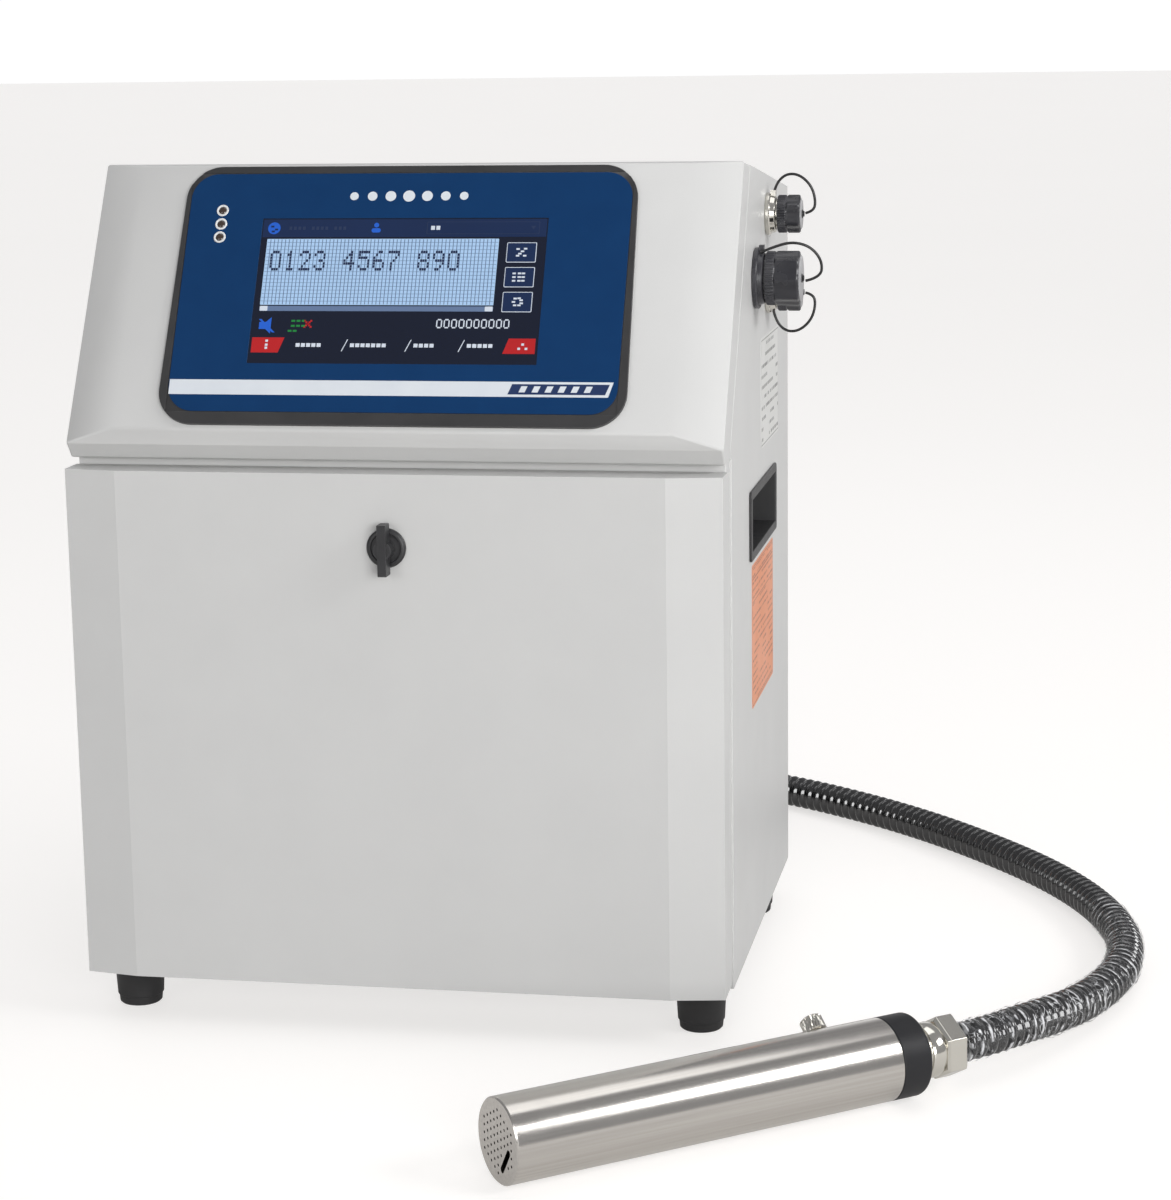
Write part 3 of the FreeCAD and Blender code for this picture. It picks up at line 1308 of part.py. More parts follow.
def head_cover():
    """Steel tube with a perforated end, an outlet slot and a hole for its thumb screw."""
    body = head_along("HeadTube", [
        ("0", "0"), ("head_radius - head_edge", "0"), ("head_radius", "head_edge"),
        ("head_radius", "head_cover_long"), ("head_radius - head_wall", "head_cover_long"),
        ("head_radius - head_wall", "head_end_thick"), ("0", "head_end_thick")])
    vents = sketch_on(body, "YZ_Plane")
    half = (size("slot_long") - size("slot_wide")) / 2
    way = (math.cos(math.radians(SLOT_TILT)), math.sin(math.radians(SLOT_TILT)))
    rows = range(-VENT_RINGS, VENT_RINGS + 1)
    for column, row in [(c, r) for c in rows for r in rows if abs(c + r) <= VENT_RINGS]:
        up = row + column / 2
        gap = (column * size("vent_across") - SLOT[0], up * size("vent_pitch") - SLOT[1])
        run = max(-half, min(half, gap[0] * way[0] + gap[1] * way[1]))
        if math.hypot(gap[0] - run * way[0], gap[1] - run * way[1]) > size("vent_keep_out"):
            add_circle(vents, "vent_bore", f"{column} * vent_across", f"{up} * vent_pitch")
    pocket(body, vents)
    tilt = FreeCAD.Placement(Vector(-2, SLOT[0], SLOT[1]),
                             FreeCAD.Rotation(Vector(1, 0, 0), SLOT_TILT))
    slot = doc.addObject("Part::Box", "OutletSlot")
    bind(slot, Length="3 * head_end_thick", Width="slot_long - slot_wide", Height="slot_wide")
    corner = Vector(0, -half, -size("slot_wide") / 2)
    slot.Placement = tilt.multiply(FreeCAD.Placement(corner, FreeCAD.Rotation()))
    slots = [slot]
    for side in (-1, 1):
        end = doc.addObject("Part::Cylinder", "OutletSlotEnd")
        bind(end, Radius="slot_wide / 2", Height="3 * head_end_thick")
        end.Placement = tilt.multiply(FreeCAD.Placement(
            Vector(0, side * half, 0), FreeCAD.Rotation(Vector(0, 1, 0), 90)))
        slots.append(end)
    hole = doc.addObject("Part::Cylinder", "CoverScrewHole")
    bind(hole, Radius="screw_stem + screw_fit", Height="2 * head_radius")
    hole.Placement = SCREW_LINE
    at_head("head_cover", without("head_cover", body, slots + [hole]))


def thumb_screw():
    """Knurled screw that holds the head's cover."""
    body = new_body("thumb_screw")
    knob = sketch_on(body, "XY_Plane", "head_radius + screw_gap")
    add_circle(knob, "screw_knob")
    pad(body, knob, "screw_knob_tall")
    stem = sketch_on(body, "XY_Plane", "spigot_radius + screw_tip_gap")
    add_circle(stem, "screw_stem")
    pad(body, stem, "2 * head_wall")
    groove = sketch_on(body, "XY_Plane", "head_radius + screw_gap + screw_knob_tall")
    add_circle(groove, "knurl", "screw_knob", "0")
    cut = pocket(body, groove, "screw_knob_tall")
    doc.recompute()
    ring = body.newObject("PartDesign::PolarPattern", "ThumbKnurl")
    ring.Originals = [cut]
    ring.Axis = (groove, ["N_Axis"])
    ring.Angle = 360
    ring.Occurrences = int(size("knurl_cuts"))
    body.Tip = ring
    body.Placement = SCREW_LINE
    at_head("thumb_screw", body)


def head_core():
    """Spigot, sleeve, gland, deck and ink parts that stay when the cover slides off."""
    at_head("head_spigot", head_along("head_spigot", [
        ("0", "spigot_start"), ("spigot_radius", "spigot_start"), ("spigot_radius", "sleeve_start"),
        ("0", "sleeve_start")]))
    at_head("head_sleeve", head_along("head_sleeve", [
        ("0", "sleeve_start"), ("head_radius", "sleeve_start"),
        ("head_radius", "head_sleeve_end - head_sleeve_edge"),
        ("head_radius - head_sleeve_edge", "head_sleeve_end"), ("0", "head_sleeve_end")]))
    collar = rod("HeadGlandCollar", "conduit_radius + gland_wall", "head_gland_long - head_hex_long",
                 ("head_sleeve_end", "0", "0"), "X")
    hexagon = nut("HeadGlandHex", "head_hex", "head_hex_long",
                  ("head_sleeve_end + head_gland_long - head_hex_long", "0", "0"), "X")
    at_head("head_gland", fused("head_gland", [hexagon, collar]))
    plate = block("DeckPlate", ("head_end_thick + 4", "-deck_half", "-deck_drop"),
                  ("spigot_start - head_end_thick - 4", "2 * deck_half", "deck_thick"))
    at_head("head_deck", group("head_deck", [plate]))
    base = block("DropBase", ("112", "-9", "-6"), ("44", "18", "8"))
    barrel = rod("DropBarrel", "8", "46", ("110", "0", "5"), "X")
    nozzle = cone("DropNozzle", "2", "5", "7", ("103", "0", "5"), "X")
    at_head("drop_generator", fused("drop_generator", [base, barrel, nozzle]))
    charge = without("ChargeBlock", block("ChargeWhole", ("88", "-6", "-6"), ("10", "12", "15")),
                     [block("ChargeSlot", ("86", "-0.8", "2"), ("14", "1.6", "8"))])
    plates = [block(f"Deflector{index}", ("48", low, "-6"), ("34", "2", "17"))
              for index, low in enumerate(("-6", "4"))]
    block_body = block("GutterBody", ("18", "-5", "-6"), ("14", "10", "9"))
    pipe = rod("GutterPipe", "1.6", "10", ("14", "0", "5"), "X")
    lug = block("GutterLug", ("20", "-2", "3"), ("6", "4", "3"))
    gutter = fused("Gutter", [block_body, pipe, lug])
    at_head("jet_parts", group("jet_parts", [charge, gutter] + plates))


# ---------------------------------------------------------------------------------- conduit
LEAD_IN = [(-75.0, 187.0, 85.0), (-75.5, 215.0, 83.0), (-74.0, 243.0, 73.0), (-72.0, 268.0, 63.0)]
RUN = [(35.0, 412.0, 11.0), (104.0, 400.0, 11.0), (166.0, 369.0, 11.0), (222.0, 328.0, 11.0),
       (272.0, 282.0, 11.0), (316.0, 231.0, 11.0), (353.0, 180.0, 11.0), (380.0, 129.0, 11.0),
       (397.0, 78.0, 11.0), (403.5, 34.0, 11.0), (401.0, -8.0, 11.0), (391.5, -47.0, 11.8),
       (378.5, -83.0, 14.0), (362.0, -115.0, 17.0), (345.5, -143.0, 20.5),
       (330.0, -167.5, 22.2), (312.3, -183.5, 22.2)]


def conduit():
    """Armoured conduit: out of the cabinet's back, once round a coil and along the floor."""
    radius = size("conduit_radius")
    node("conduit_lead_in", shaped("conduit_lead_in", tube("conduit_lead_in", LEAD_IN, radius)))
    node("conduit_run", shaped("conduit_run", tube("conduit_run", RUN, radius)))
    centre = ("coil_x", "coil_y", "0")
    ring = rod("CoilOutside", "coil_radius + conduit_radius + 1", "coil_tall", centre)
    bore = rod("CoilInside", "coil_radius - conduit_radius - 1", "coil_tall", centre)
    node("conduit_coil", without("conduit_coil", ring, [bore]))
    ties = []
    for label, turn in (("Right", 0), ("Near", -100)):
        spin = FreeCAD.Placement(Vector(size("coil_x"), size("coil_y"), 0),
                                 FreeCAD.Rotation(Vector(0, 0, 1), turn))
        wide, tall, strap = size("conduit") + 6, size("coil_tall"), size("tie_thick")
        outer = Part.makeBox(wide, size("tie_wide"), tall + strap,
                             Vector(size("coil_radius") - wide / 2, -size("tie_wide") / 2, 0))
        inner = Part.makeBox(wide - 2 * strap, size("tie_wide"), tall - strap,
                             Vector(size("coil_radius") - wide / 2 + strap,
                                    -size("tie_wide") / 2, strap))
        loop = outer.cut(inner)
        loop.Placement = spin
        ties.append(loop)
    node("coil_ties", shaped("coil_ties", Part.makeCompound(ties)))


# ---------------------------------------------------------------------------------- build
def build():
    """Make every sub-part in turn."""
    side_panel("left_side_panel", -1)
    side_panel("right_side_panel", 1)
    base_plate()
    top_panel()
    back_panel()
    front_frame()
    inner_plates()
    hood()
    console()
    door()
    latch()
    door_hinges()
    handle("left_handle", -1)
    handle("right_handle", 1)
    sockets()
    side_labels()
    feet()
    electronics()
    fan()
    fluids()
    hoses()
    mains()
    conduit_gland()
    head_cover()
    thumb_screw()
    head_core()
    conduit()


def export():
    """Check the document and every sub-part, then write each sub-part's STEP file."""
    doc.recompute()
    failed = [thing.Label for thing in doc.Objects if {"Invalid", "Error"} & set(thing.State)]
    failed += [name for name, thing in NODES.items()
               if thing.Shape.isNull() or not thing.Shape.isValid() or not thing.Shape.Solids]
    if failed:
        raise RuntimeError(f"these did not build: {failed}")
    os.makedirs("parts", exist_ok=True)
    for name, thing in NODES.items():
        thing.Shape.exportStep(f"parts/{name}.step")
        box = thing.Shape.BoundBox
        print(f"{name:20s} {len(thing.Shape.Solids):2d} solids {thing.Shape.Volume / 1000:9.2f} cm3  "
              f"x {box.XMin:7.1f} {box.XMax:7.1f}  y {box.YMin:7.1f} {box.YMax:7.1f}  "
              f"z {box.ZMin:6.1f} {box.ZMax:6.1f}")
    print(len(NODES), "sub-parts")


build()
export()
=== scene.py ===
"""Looks of a date code inkjet printer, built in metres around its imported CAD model.

Each sub-assembly is a class that makes and dresses its own pieces. Places come from the CAD
nodes' boxes, and sizes that only the looks need are fields of the classes.
"""
import json
import logging
import math
from dataclasses import dataclass
from enum import Enum
from typing import Any, Callable, Sequence

import bmesh
import bpy
from bmesh.types import BMesh, BMVert
from bpy.types import Node, NodeSocket, NodeTree, Object
from mathutils import Matrix, Vector, noise
from mathutils.kdtree import KDTree


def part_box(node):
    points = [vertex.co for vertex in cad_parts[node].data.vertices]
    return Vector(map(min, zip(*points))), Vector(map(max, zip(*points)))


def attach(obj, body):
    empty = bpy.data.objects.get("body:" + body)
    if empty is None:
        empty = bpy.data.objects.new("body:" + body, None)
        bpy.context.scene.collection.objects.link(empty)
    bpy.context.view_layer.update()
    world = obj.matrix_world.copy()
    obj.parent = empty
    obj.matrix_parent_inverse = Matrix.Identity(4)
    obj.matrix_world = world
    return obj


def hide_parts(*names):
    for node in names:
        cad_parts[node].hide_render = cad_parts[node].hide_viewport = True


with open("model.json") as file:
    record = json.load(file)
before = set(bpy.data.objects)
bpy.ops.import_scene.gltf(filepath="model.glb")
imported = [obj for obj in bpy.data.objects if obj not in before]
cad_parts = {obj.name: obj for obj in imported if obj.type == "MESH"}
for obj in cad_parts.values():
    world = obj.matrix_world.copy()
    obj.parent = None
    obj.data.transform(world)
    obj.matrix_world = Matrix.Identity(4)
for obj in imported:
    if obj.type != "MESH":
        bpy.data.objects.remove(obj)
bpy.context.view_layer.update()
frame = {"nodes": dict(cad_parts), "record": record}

LOG = logging.getLogger("inkjet_printer")
MM = 0.001
TINY = 1e-9
STEPS_PER_RIDGE = 10.0
GROOVE_POWER = 1.4
Colour = tuple[float, float, float]
Point = tuple[float, float]
Place = tuple[float, float, float]
BODY_OF = {node: body for body, nodes in frame["record"]["behaviour"]["bodies"].items()
           for node in nodes}


# ------------------------------------------------------------------------------ node trees
class Graph:
    """A node tree with short calls for adding nodes and joining them."""

    def __init__(self, tree: NodeTree) -> None:
        """Work on tree."""
        self.tree = tree

    def add(self, kind: str, inputs: dict[Any, Any] | None = None, **settings: Any) -> Node:
        """Add a node.

        Args:
            kind: the node's type name.
            inputs: values or sockets by input name or number.
            settings: the node's own properties.

        Returns:
            The new node.
        """
        node = self.tree.nodes.new(kind)
        for name, value in settings.items():
            setattr(node, name, value)
        for name, value in (inputs or {}).items():
            self.feed(node.inputs[name], value)
        return node

    def feed(self, socket: NodeSocket, value: Any) -> None:
        """Link a socket into another, or set its own value."""
        if isinstance(value, NodeSocket):
            self.tree.links.new(value, socket)
        else:
            socket.default_value = value

    def math(self, operation: str, *values: Any) -> NodeSocket:
        """Return the output of a Math node of up to three values."""
        return self.add("ShaderNodeMath", dict(enumerate(values)), operation=operation).outputs[0]

    def between(self, value: Any, low: float, high: float, start: float = 0.0,
                end: float = 1.0) -> NodeSocket:
        """Return value mapped from low..high to start..end, clamped."""
        numbers = {"Value": value, "From Min": low, "From Max": high, "To Min": start,
                   "To Max": end}
        return self.add("ShaderNodeMapRange", numbers).outputs["Result"]

    def mix(self, factor: Any, first: Any, second: Any) -> NodeSocket:
        """Return two colours mixed by factor."""
        node = self.add("ShaderNodeMix", {0: factor, 6: opaque(first), 7: opaque(second)},
                        data_type="RGBA")
        return node.outputs[2]

    def noise(self, vector: Any, scale: Any, detail: float = 2.0) -> NodeSocket:
        """Return a noise value at vector."""
        inputs = {"Vector": vector, "Scale": scale, "Detail": detail}
        return self.add("ShaderNodeTexNoise", inputs).outputs["Fac"]


def opaque(colour: Any) -> Any:
    """Return a colour with its alpha, or a socket as it is."""
    return (*colour, 1.0) if isinstance(colour, tuple) and len(colour) == 3 else colour


@dataclass(frozen=True)
class Plug:
    """One named socket of a node group."""

    name: str
    kind: str = "Float"
    default: Any = None


Fill = Callable[[Graph, Node, Node], None]


def node_group(name: str, kind: str, inputs: Sequence[Plug], outputs: Sequence[Plug],
               fill: Fill) -> NodeTree:
    """Make a node group once.

    Args:
        name: the group's name.
        kind: ShaderNodeTree or GeometryNodeTree.
        inputs: its input sockets.
        outputs: its output sockets.
        fill: puts its nodes in, between the input and the output node.

    Returns:
        The group.
    """
    if name in bpy.data.node_groups:
        return bpy.data.node_groups[name]
    tree = bpy.data.node_groups.new(name, kind)
    for way, plugs in (("INPUT", inputs), ("OUTPUT", outputs)):
        for plug in plugs:
            socket = tree.interface.new_socket(plug.name, in_out=way,
                                               socket_type="NodeSocket" + plug.kind)
            if plug.default is not None:
                socket.default_value = plug.default
    graph = Graph(tree)
    fill(graph, graph.add("NodeGroupInput"), graph.add("NodeGroupOutput"))
    return tree


def shader_group(name: str, inputs: Sequence[Plug],
                 *outputs: str) -> Callable[[Fill], Callable[[], NodeTree]]:
    """Turn a function that fills a tree into one that returns its shader group, made once."""
    plugs = [Plug(output) for output in outputs]
    return lambda fill: lambda: node_group(name, "ShaderNodeTree", inputs, plugs, fill)


@shader_group("surface_grain", [Plug("Vector", "Vector"), Plug("Scale", default=1000.0)],
              "Height", "Mottle")
def grain_group(graph: Graph, source: Node, sink: Node) -> None:
    """Fine grain of paint and mouldings: a height, and a slow mottle for colour and gloss."""
    place, scale = source.outputs["Vector"], source.outputs["Scale"]
    coarse = graph.noise(place, scale, 1.0)
    fine = graph.noise(place, graph.math("MULTIPLY", scale, 2.7), 1.0)
    height = graph.math("ADD", graph.math("MULTIPLY", coarse, 0.7),
                        graph.math("MULTIPLY", fine, 0.3))
    slow = graph.noise(place, graph.math("MULTIPLY", scale, 0.015), 4.0)
    graph.feed(sink.inputs["Height"], height)
    graph.feed(sink.inputs["Mottle"], graph.between(slow, 0.3, 0.7))


@shader_group("brushed_lines", [Plug("Vector", "Vector"), Plug("Along", default=40.0),
                                Plug("Across", default=3000.0)], "Height", "Streak")
def brush_group(graph: Graph, source: Node, sink: Node) -> None:
    """Brushed lines along X: a height and a streak mask."""
    stretch = graph.add("ShaderNodeCombineXYZ", {"X": source.outputs["Along"],
                                                 "Y": source.outputs["Across"],
                                                 "Z": source.outputs["Across"]})
    place = graph.add("ShaderNodeVectorMath", {0: source.outputs["Vector"], 1: stretch.outputs[0]},
                      operation="MULTIPLY").outputs[0]
    graph.feed(sink.inputs["Height"], graph.noise(place, 1.0, 3.0))
    graph.feed(sink.inputs["Streak"], graph.between(graph.noise(place, 0.23, 2.0), 0.3, 0.7))


@shader_group("edge_wear", [Plug("Vector", "Vector"), Plug("Radius", default=0.001)], "Mask")
def edge_highlight_wear_group(graph: Graph, source: Node, sink: Node) -> None:
    """Mask of outer edges for a lighter colour, broken up with noise: a painted edge highlight that
    also stands for wear from handling.
    """
    rounded = graph.add("ShaderNodeBevel", {"Radius": source.outputs["Radius"]}, samples=4)
    flat = graph.add("ShaderNodeNewGeometry").outputs["Normal"]
    turn = graph.add("ShaderNodeVectorMath", {0: rounded.outputs[0], 1: flat},
                     operation="DOT_PRODUCT").outputs["Value"]
    lit_worn_edge = graph.between(graph.math("SUBTRACT", 1.0, turn), 0.02, 0.2)
    broken = graph.between(graph.noise(source.outputs["Vector"], 260.0, 3.0), 0.42, 0.62)
    graph.feed(sink.inputs["Mask"], graph.math("MULTIPLY", lit_worn_edge, broken))


@shader_group("handling_marks", [Plug("Vector", "Vector")], "Mask")
def smudge_group(graph: Graph, source: Node, sink: Node) -> None:
    """Soft marks that hands and dust leave, as a mask."""
    place = source.outputs["Vector"]
    broad = graph.between(graph.noise(place, 14.0, 3.0), 0.45, 0.75)
    small = graph.between(graph.noise(place, 90.0, 2.0), 0.4, 0.7)
    graph.feed(sink.inputs["Mask"], graph.math("MULTIPLY", broad, small))


@shader_group("printed_rows", [Plug("Vector", "Vector"), Plug("Row", default=0.004),
                               Plug("Fill", default=0.2), Plug("Words", default=600.0)], "Mask")
def print_group(graph: Graph, source: Node, sink: Node) -> None:
    """Rows of short printed marks, in the Y and Z of a label, as a mask."""
    split = graph.add("ShaderNodeSeparateXYZ", {0: source.outputs["Vector"]})
    row = graph.math("DIVIDE", split.outputs["Z"], source.outputs["Row"])
    number = graph.math("FLOOR", row)
    in_row = graph.math("LESS_THAN", graph.math("ABSOLUTE", graph.math(
        "SUBTRACT", graph.math("FRACT", row), 0.5)), source.outputs["Fill"])
    along = graph.math("MULTIPLY", split.outputs["Y"], source.outputs["Words"])
    spot = graph.add("ShaderNodeCombineXYZ", {"X": along, "Y": graph.math("MULTIPLY", number, 7.3)})
    words = graph.math("GREATER_THAN", graph.noise(spot.outputs[0], 1.0, 0.0), 0.44)
    used = graph.math("GREATER_THAN", graph.noise(spot.outputs[0], 0.06, 0.0), 0.4)
    mask = graph.math("MULTIPLY", graph.math("MULTIPLY", in_row, words), used)
    graph.feed(sink.inputs["Mask"], mask)


# ------------------------------------------------------------------------------ finishes
class Brush(Enum):
    """Which way a metal's brushing runs; each value turns Object coordinates to put it on X."""

    NONE = None
    ACROSS = (0.0, 0.0, 0.0)
    DEEP = (0.0, 0.0, 90.0)


class Shader:
    """A material under way: its Principled BSDF, its coordinates and its shared groups."""

    def __init__(self, name: str, **sockets: Any) -> None:
        """Start a material.

        Args:
            name: the material's name.
            sockets: plain values by the shader's input names, with _ for spaces.
        """
        self.material = bpy.data.materials.new(name)
        self.material.use_nodes = True
        self.graph = Graph(self.material.node_tree)
        self.bsdf = self.material.node_tree.nodes["Principled BSDF"]
        self.place = self.graph.add("ShaderNodeTexCoord").outputs["Object"]
        for label, value in sockets.items():
            self.set(label.replace("_", " ").title().replace("Ior", "IOR"), value)

    def set(self, label: str, value: Any) -> None:
        """Feed one of the shader's inputs."""
        self.graph.feed(self.bsdf.inputs[label], opaque(value))

    def group(self, tree: NodeTree, **inputs: Any) -> Node:
        """Add one of the shared groups, on this material's coordinates unless told otherwise."""
        node = self.graph.add("ShaderNodeGroup", node_tree=tree)
        for label, value in {"Vector": self.place, **inputs}.items():
            self.graph.feed(node.inputs[label], value)
        return node

    def bump(self, height: Any, depth: float) -> None:
        """Raise the surface by a height times depth, in metres."""
        node = self.graph.add("ShaderNodeBump", {"Height": height, "Distance": depth})
        self.set("Normal", node.outputs["Normal"])


@dataclass(frozen=True)
class Finish:
    """A plain surface: paint, moulding, rubber or metal.

    Its colour drifts to second with a slow mottle, its edges lighten towards the edge colour, a
    painted edge highlight that also stands for rubbed wear, and its roughness runs between two values
    with the marks of handling.
    """

    name: str
    colour: Colour
    second: Colour
    roughness: tuple[float, float]
    metallic: float = 0.0
    grain: float = 1100.0
    depth: float = 0.00002
    # Colour that outer edges lighten to: painted edge highlight, partly also rubbed wear.
    lit_worn_edge: Colour | None = None
    lit_worn_edge_mix: float = 0.5
    brush: Brush = Brush.NONE
    turn: float = 0.0
    along: float = 40.0
    across: float = 3000.0
    coat: float = 0.0
    shine: float = 0.5
    glow: float = 0.0

    def material(self) -> bpy.types.Material:
        """Return the material, made at its first use."""
        if self.name in bpy.data.materials:
            return bpy.data.materials[self.name]
        shader = Shader(self.name, metallic=self.metallic, specular_ior_level=self.shine,
                        coat_weight=self.coat, coat_roughness=0.08)
        graph = shader.graph
        grain = shader.group(grain_group(), Scale=self.grain)
        marks = shader.group(smudge_group()).outputs["Mask"]
        height, drift = grain.outputs["Height"], grain.outputs["Mottle"]
        if self.brush is not Brush.NONE:
            angles = [math.radians(a) for a in self.brush.value]
            angles[2] += math.radians(self.turn)
            turned = graph.add("ShaderNodeMapping", {"Vector": shader.place, "Rotation": angles})
            lines = shader.group(brush_group(), Vector=turned.outputs[0], Along=self.along,
                                 Across=self.across)
            height, drift = lines.outputs["Height"], lines.outputs["Streak"]
        colour = graph.mix(drift, self.colour, self.second)
        # Edges lightened by the mask: painted edge highlight, partly also rubbed wear.
        if self.lit_worn_edge:
            lit_worn_edges = shader.group(edge_highlight_wear_group()).outputs["Mask"]
            colour = graph.mix(graph.math("MULTIPLY", lit_worn_edges, self.lit_worn_edge_mix), colour, self.lit_worn_edge)
        shader.set("Base Color", colour)
        if self.glow:
            shader.set("Emission Color", colour)
            shader.set("Emission Strength", self.glow)
        used = graph.math("ADD", graph.math("MULTIPLY", drift, 0.5), marks)
        shader.set("Roughness", graph.between(used, 0.0, 1.2, *self.roughness))
        shader.bump(height, self.depth)
        return shader.material


@dataclass(frozen=True)
class Label:
    """A printed label on the cabinet's side: ground, rows of marks, and a border of lines."""

    name: str
    ground: Colour
    ink: Colour
    row: float
    fill: float
    words: float
    middle: Point
    half: Point
    bars: tuple[tuple[float, float], ...] = ()
    border: float = 0.0006

    def material(self) -> bpy.types.Material:
        """Return the material, which one piece uses."""
        shader = Shader(self.name, coat_weight=0.15, coat_roughness=0.3)
        graph = shader.graph
        place = graph.add("ShaderNodeMapping", {
            "Vector": shader.place, "Location": (0.0, -self.middle[0], -self.middle[1])}).outputs[0]
        rows = shader.group(print_group(), Vector=place, Row=self.row, Fill=self.fill,
                            Words=self.words)
        split = graph.add("ShaderNodeSeparateXYZ", {0: place})
        reach = [graph.math("SUBTRACT", half, graph.math("ABSOLUTE", split.outputs[axis]))
                 for axis, half in zip("YZ", self.half)]
        inset = graph.math("MINIMUM", *reach)
        inside = graph.math("GREATER_THAN", inset, 4 * self.border)
        frame_line = graph.math("COMPARE", inset, 2.5 * self.border, self.border / 2)
        mask = graph.math("MAXIMUM", graph.math("MULTIPLY", rows.outputs["Mask"], inside),
                          frame_line)
        for low, high in self.bars:
            bar = graph.math("MULTIPLY", graph.math("GREATER_THAN", split.outputs["Z"], low),
                             graph.math("LESS_THAN", split.outputs["Z"], high))
            mask = graph.math("MAXIMUM", mask, graph.math("MULTIPLY", bar, inside))
        grain = shader.group(grain_group(), Scale=1500.0)
        soft = graph.mix(grain.outputs["Mottle"], self.ground, tuple(0.93 * c for c in self.ground))
        shader.set("Base Color", graph.mix(graph.math("MULTIPLY", mask, 0.8), soft, self.ink))
        shader.set("Roughness", graph.between(grain.outputs["Mottle"], 0.0, 1.0, 0.36, 0.5))
        shader.bump(grain.outputs["Height"], 0.00001)
        return shader.material


@dataclass(frozen=True)
class Wrap:
    """Clear crinkled film on a tube: see-through, with painted highlights on the creases that run
    round it, where it turns opaque near-white.
    """

    name: str
    thin: float
    crease_highlight: float

    def material(self) -> bpy.types.Material:
        """Return the material, which one piece uses."""
        # The near-white base colour shows only where the alpha rises, as painted highlight on the
        # creases.
        shader = Shader(self.name, base_color=(0.80, 0.81, 0.83), roughness=0.14, coat_weight=0.4,
                        coat_roughness=0.1)
        graph = shader.graph
        place = graph.add("ShaderNodeAttribute", attribute_name="wound").outputs["Vector"]
        turns = graph.add("ShaderNodeSeparateXYZ", {0: place}).outputs["X"]
        crest = graph.math("ABSOLUTE", graph.math("SUBTRACT", graph.math("FRACT", turns), 0.55))
        crest = graph.between(crest, 0.06, 0.2, 1.0, 0.0)
        glint = graph.between(graph.noise(place, 1.1, 3.0), 0.5, 0.6)
        folds = graph.add("ShaderNodeTexNoise", {"Vector": place, "Scale": 0.9, "Detail": 2.0,
                                                 "Distortion": 0.8}).outputs["Fac"]
        fold = graph.between(graph.math("ABSOLUTE", graph.math("SUBTRACT", folds, 0.5)),
                             0.0, 0.016, 1.0, 0.0)
        gather = graph.between(graph.noise(place, 0.3, 1.0), 0.4, 0.6)
        # Painted highlight mask: near the ridge crests and along the folds, the film turns opaque
        # near-white.
        crease_highlight = graph.math("MAXIMUM", graph.math("MULTIPLY", crest, glint),
                            graph.math("MULTIPLY", fold, gather))
        shader.set("Alpha", graph.between(crease_highlight, 0.0, 1.0, self.thin, self.crease_highlight))
        shader.bump(graph.noise(place, 1.2, 3.0), 0.0015)
        return shader.material


PAINT = Finish("cabinet_paint", (0.640, 0.640, 0.630), (0.622, 0.622, 0.613), (0.42, 0.50),
               grain=1300.0, depth=0.00004, lit_worn_edge=(0.78, 0.78, 0.76), lit_worn_edge_mix=0.35)
ZINC = Finish("bay_zinc", (0.55, 0.56, 0.57), (0.42, 0.43, 0.45), (0.3, 0.5), metallic=1.0,
              brush=Brush.ACROSS, depth=0.00001)
BEZEL = Finish("bezel_moulding", (0.030, 0.030, 0.031), (0.040, 0.039, 0.040), (0.36, 0.5),
               grain=2600.0, lit_worn_edge=(0.10, 0.10, 0.10), lit_worn_edge_mix=0.4)
OVERLAY = Finish("overlay_film", (0.0014, 0.034, 0.120), (0.0018, 0.037, 0.128), (0.34, 0.38),
                 grain=4200.0, depth=0.000004, shine=0.22)
STRIPE = Finish("overlay_white", (0.72, 0.76, 0.80), (0.68, 0.72, 0.77), (0.28, 0.36), grain=4200.0,
                depth=0.000006)
INK_BLUE = Finish("overlay_ink", (0.010, 0.028, 0.10), (0.012, 0.032, 0.11), (0.3, 0.4),
                  grain=4200.0,
                  depth=0.000006)
GLASS = Finish("display_glass", (0.003, 0.004, 0.010), (0.004, 0.006, 0.014), (0.10, 0.14),
               grain=900.0,
               depth=0.000002)
LED_WHITE = Finish("led_collar_white", (0.80, 0.80, 0.79), (0.74, 0.74, 0.74), (0.3, 0.4))
LED_DARK = Finish("led_lens_dark", (0.035, 0.020, 0.016), (0.05, 0.03, 0.02), (0.08, 0.15),
                  coat=0.6)
BLACK = Finish("black_moulding", (0.018, 0.018, 0.020), (0.028, 0.028, 0.030), (0.34, 0.52),
               grain=3000.0, depth=0.00003, lit_worn_edge=(0.11, 0.11, 0.115), lit_worn_edge_mix=0.5)
CONNECTOR = Finish("connector_moulding", (0.024, 0.024, 0.029), (0.040, 0.040, 0.046), (0.24, 0.4),
                   grain=3000.0, lit_worn_edge=(0.16, 0.16, 0.17), lit_worn_edge_mix=0.6)
CAP_END = Finish("cap_end_plate", (0.42, 0.42, 0.43), (0.34, 0.34, 0.35), (0.3, 0.45), grain=2600.0)
RUBBER = Finish("black_rubber", (0.014, 0.014, 0.015), (0.024, 0.023, 0.023), (0.55, 0.75),
                grain=1900.0, depth=0.00006)
CORD = Finish("lanyard_rubber", (0.010, 0.010, 0.011), (0.018, 0.018, 0.018), (0.3, 0.5),
              grain=2600.0)
HANDLE = Finish("handle_moulding", (0.020, 0.020, 0.021), (0.032, 0.032, 0.033), (0.42, 0.6),
                grain=1700.0, depth=0.00008, lit_worn_edge=(0.12, 0.12, 0.12), lit_worn_edge_mix=0.5)
NICKEL = Finish("nickel_plate", (0.74, 0.72, 0.66), (0.60, 0.58, 0.53), (0.10, 0.24), metallic=1.0,
                grain=700.0, depth=0.000008, lit_worn_edge=(0.86, 0.85, 0.80), lit_worn_edge_mix=0.4)
